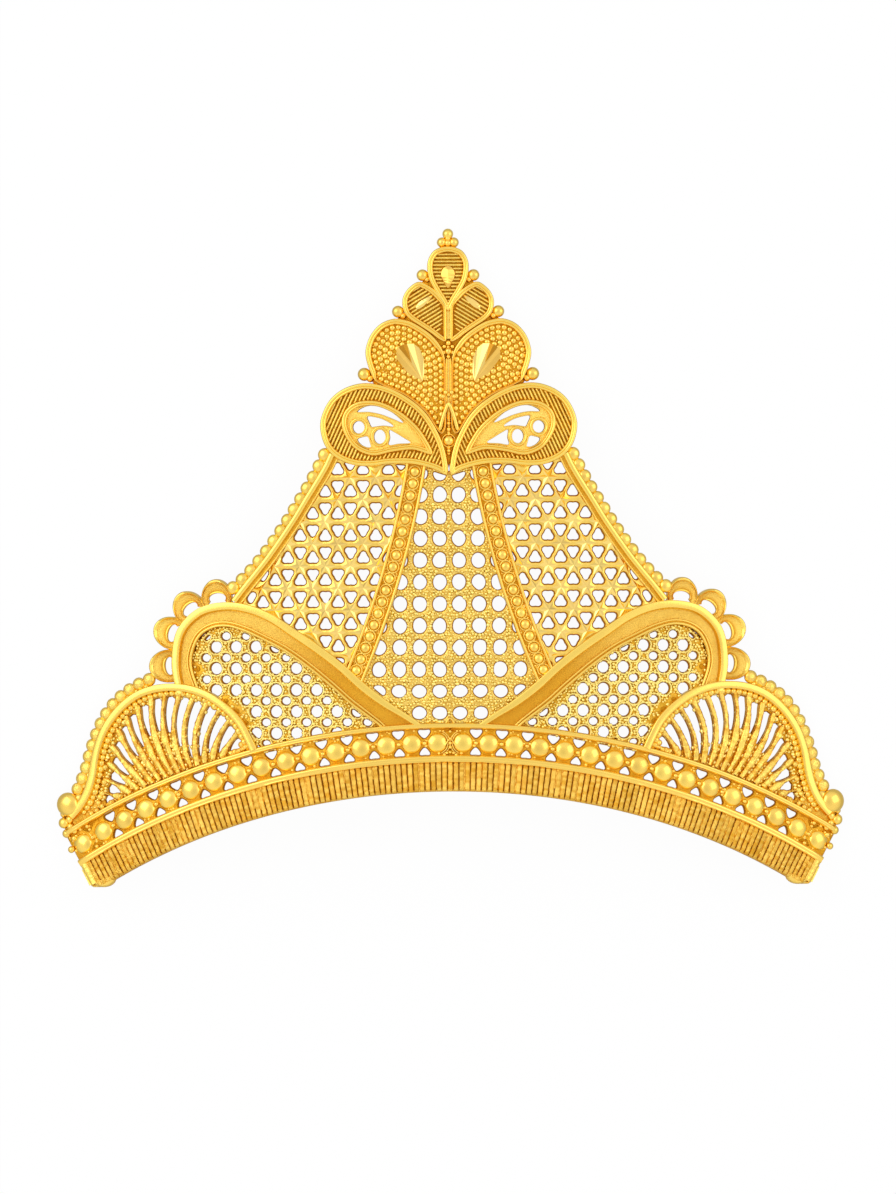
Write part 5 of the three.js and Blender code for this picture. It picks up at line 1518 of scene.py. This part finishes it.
class CROWN_OT_stage(bpy.types.Operator):
    """Makes the pale floor, the soft lamps and the camera"""
    bl_idname = "crown.stage"
    bl_label = "Floor, Lamps and Camera"

    def execute(self, context):
        sizes = context.scene.crown_stage
        self.floor()
        self.room(sizes)
        self.camera(sizes)
        return {"FINISHED"}

    def floor(self):
        mesh = bpy.data.meshes.new("pale_floor")
        corners = [(-1.5, -1.5, 0), (1.5, -1.5, 0), (1.5, 1.5, 0), (-1.5, 1.5, 0)]
        mesh.from_pydata(corners, [], [(0, 1, 2, 3)])
        mesh.materials.append(pale_paper())
        floor = bpy.data.objects.new("pale_floor", mesh)
        bpy.context.scene.collection.objects.link(floor)

    def room(self, sizes):
        world = bpy.data.worlds.new("soft_room")
        world.use_nodes = True
        tree = world.node_tree
        heading = node(tree, "ShaderNodeTexCoord").outputs["Generated"]
        heading = node(tree, "ShaderNodeSeparateXYZ", {0: heading})
        shade = node(tree, "ShaderNodeValToRGB", {"Fac": heading.outputs["Z"]})
        ramp = shade.color_ramp
        ramp.elements[0].position, ramp.elements[1].position = 0.0, 1.0
        for place, value in ((0.2, 0.84), (0.5, 0.98), (0.8, 1.0), (0.96, 0.88)):
            ramp.elements.new(place).color = (value, value, value, 1)
        ramp.elements[0].color, ramp.elements[-1].color = (0.72, 0.72, 0.72, 1), (0.78, 0.78, 0.78, 1)
        seen = node(tree, "ShaderNodeLightPath").outputs["Is Camera Ray"]
        shade = {0: seen, 6: shade.outputs["Color"], 7: (0.95, 0.95, 0.95, 1)}
        shade = node(tree, "ShaderNodeMix", shade, data_type="RGBA").outputs[2]
        tree.links.new(shade, tree.nodes["Background"].inputs["Color"])
        tree.nodes["Background"].inputs["Strength"].default_value = sizes.glow
        bpy.context.scene.world = world
        bpy.context.scene.view_settings.view_transform = "Standard"
        for name, place, size, power in (
            ("left_lamp", (-0.8, 0.5, 0.75), 0.9, 3.6),
            ("right_lamp", (0.9, 0.3, 0.7), 0.8, 1.7),
        ):
            lamp = bpy.data.lights.new(name, "AREA")
            lamp.shape, lamp.size, lamp.energy = "SQUARE", size, power * sizes.lamps
            shown = bpy.data.objects.new(name, lamp)
            shown.location = place
            shown.rotation_euler = (-Vector(place)).to_track_quat("-Z", "Y").to_euler()
            bpy.context.scene.collection.objects.link(shown)

    def camera(self, sizes):
        lens = bpy.data.cameras.new("camera")
        lens.sensor_fit, lens.sensor_height, lens.sensor_width = "VERTICAL", 36, 36
        lens.lens = sizes.lens
        camera = bpy.data.objects.new("camera", lens)
        aim = Vector(worn([(-0.25, 48.9, NEUTRAL)])[0])
        out = Vector((0, math.sin(TILT), math.cos(TILT)))
        up = Vector((0, math.cos(TILT), -math.sin(TILT)))
        turn = Matrix((up.cross(out), up, out)).transposed()
        turn = turn @ Matrix.Rotation(math.radians(sizes.roll), 3, "Z")
        camera.matrix_world = Matrix.Translation(aim + out * sizes.distance) @ turn.to_4x4()
        bpy.context.scene.collection.objects.link(camera)
        bpy.context.scene.camera = camera


def pale_paper():
    """The floor's paper: it glows for the eye, and stays dull in the gold's reflections."""
    material = bpy.data.materials.new("pale_paper")
    material.use_nodes = True
    tree = material.node_tree
    shader = tree.nodes["Principled BSDF"]
    paper = node(tree, "ShaderNodeTexNoise", {"Scale": 40.0, "Detail": 4.0}).outputs["Fac"]
    tree.links.new(faded(tree, paper, 0.3, 0.7, 0.75, 0.85), shader.inputs["Roughness"])
    shader.inputs["Base Color"].default_value = (0.04, 0.04, 0.04, 1)
    shader.inputs["Specular IOR Level"].default_value = 0.0
    seen = node(tree, "ShaderNodeLightPath").outputs["Is Camera Ray"]
    glow = {0: seen, 3: 0.55, 4: 0.955}
    tree.links.new(node(tree, "ShaderNodeMapRange", glow).outputs[0], shader.inputs["Emission Strength"])
    shader.inputs["Emission Color"].default_value = (1, 1, 1, 1)
    return material


# ------------------------------------------------------------------ add-on

SETTINGS = {"crown_band": CrownBand, "crown_mesh": CrownMesh, "crown_crest": CrownCrest,
            "crown_tints": CrownTints, "crown_stage": CrownStage}
OPERATORS = (CROWN_OT_finishes, CROWN_OT_band, CROWN_OT_balls, CROWN_OT_fans, CROWN_OT_scrolls,
             CROWN_OT_lattices, CROWN_OT_star_meshes, CROWN_OT_centre_mesh, CROWN_OT_channels,
             CROWN_OT_side_edges, CROWN_OT_crest_leaves, CROWN_OT_lobes, CROWN_OT_upper_leaves,
             CROWN_OT_crest_middle, CROWN_OT_stage)


class CROWN_PT_panel(bpy.types.Panel):
    """Lists the sizes and pieces of the crown"""
    bl_label = "Bridal Crown"
    bl_idname = "CROWN_PT_panel"
    bl_space_type = "VIEW_3D"
    bl_region_type = "UI"
    bl_category = "Crown"

    def draw(self, context):
        for name, settings in SETTINGS.items():
            box = self.layout.box()
            for title in settings.__annotations__:
                box.prop(getattr(context.scene, name), title)
        for operator in OPERATORS:
            self.layout.operator(operator.bl_idname)


CLASSES = (*SETTINGS.values(), *OPERATORS, CROWN_PT_panel)


def register():
    for made in CLASSES:
        bpy.utils.register_class(made)
    for name, settings in SETTINGS.items():
        setattr(bpy.types.Scene, name, bpy.props.PointerProperty(type=settings))


def unregister():
    for name in SETTINGS:
        delattr(bpy.types.Scene, name)
    for made in reversed(CLASSES):
        bpy.utils.unregister_class(made)


def main():
    register()
    for operator in OPERATORS:
        getattr(bpy.ops.crown, operator.bl_idname.split(".")[1])()


if __name__ == "__main__":
    main()
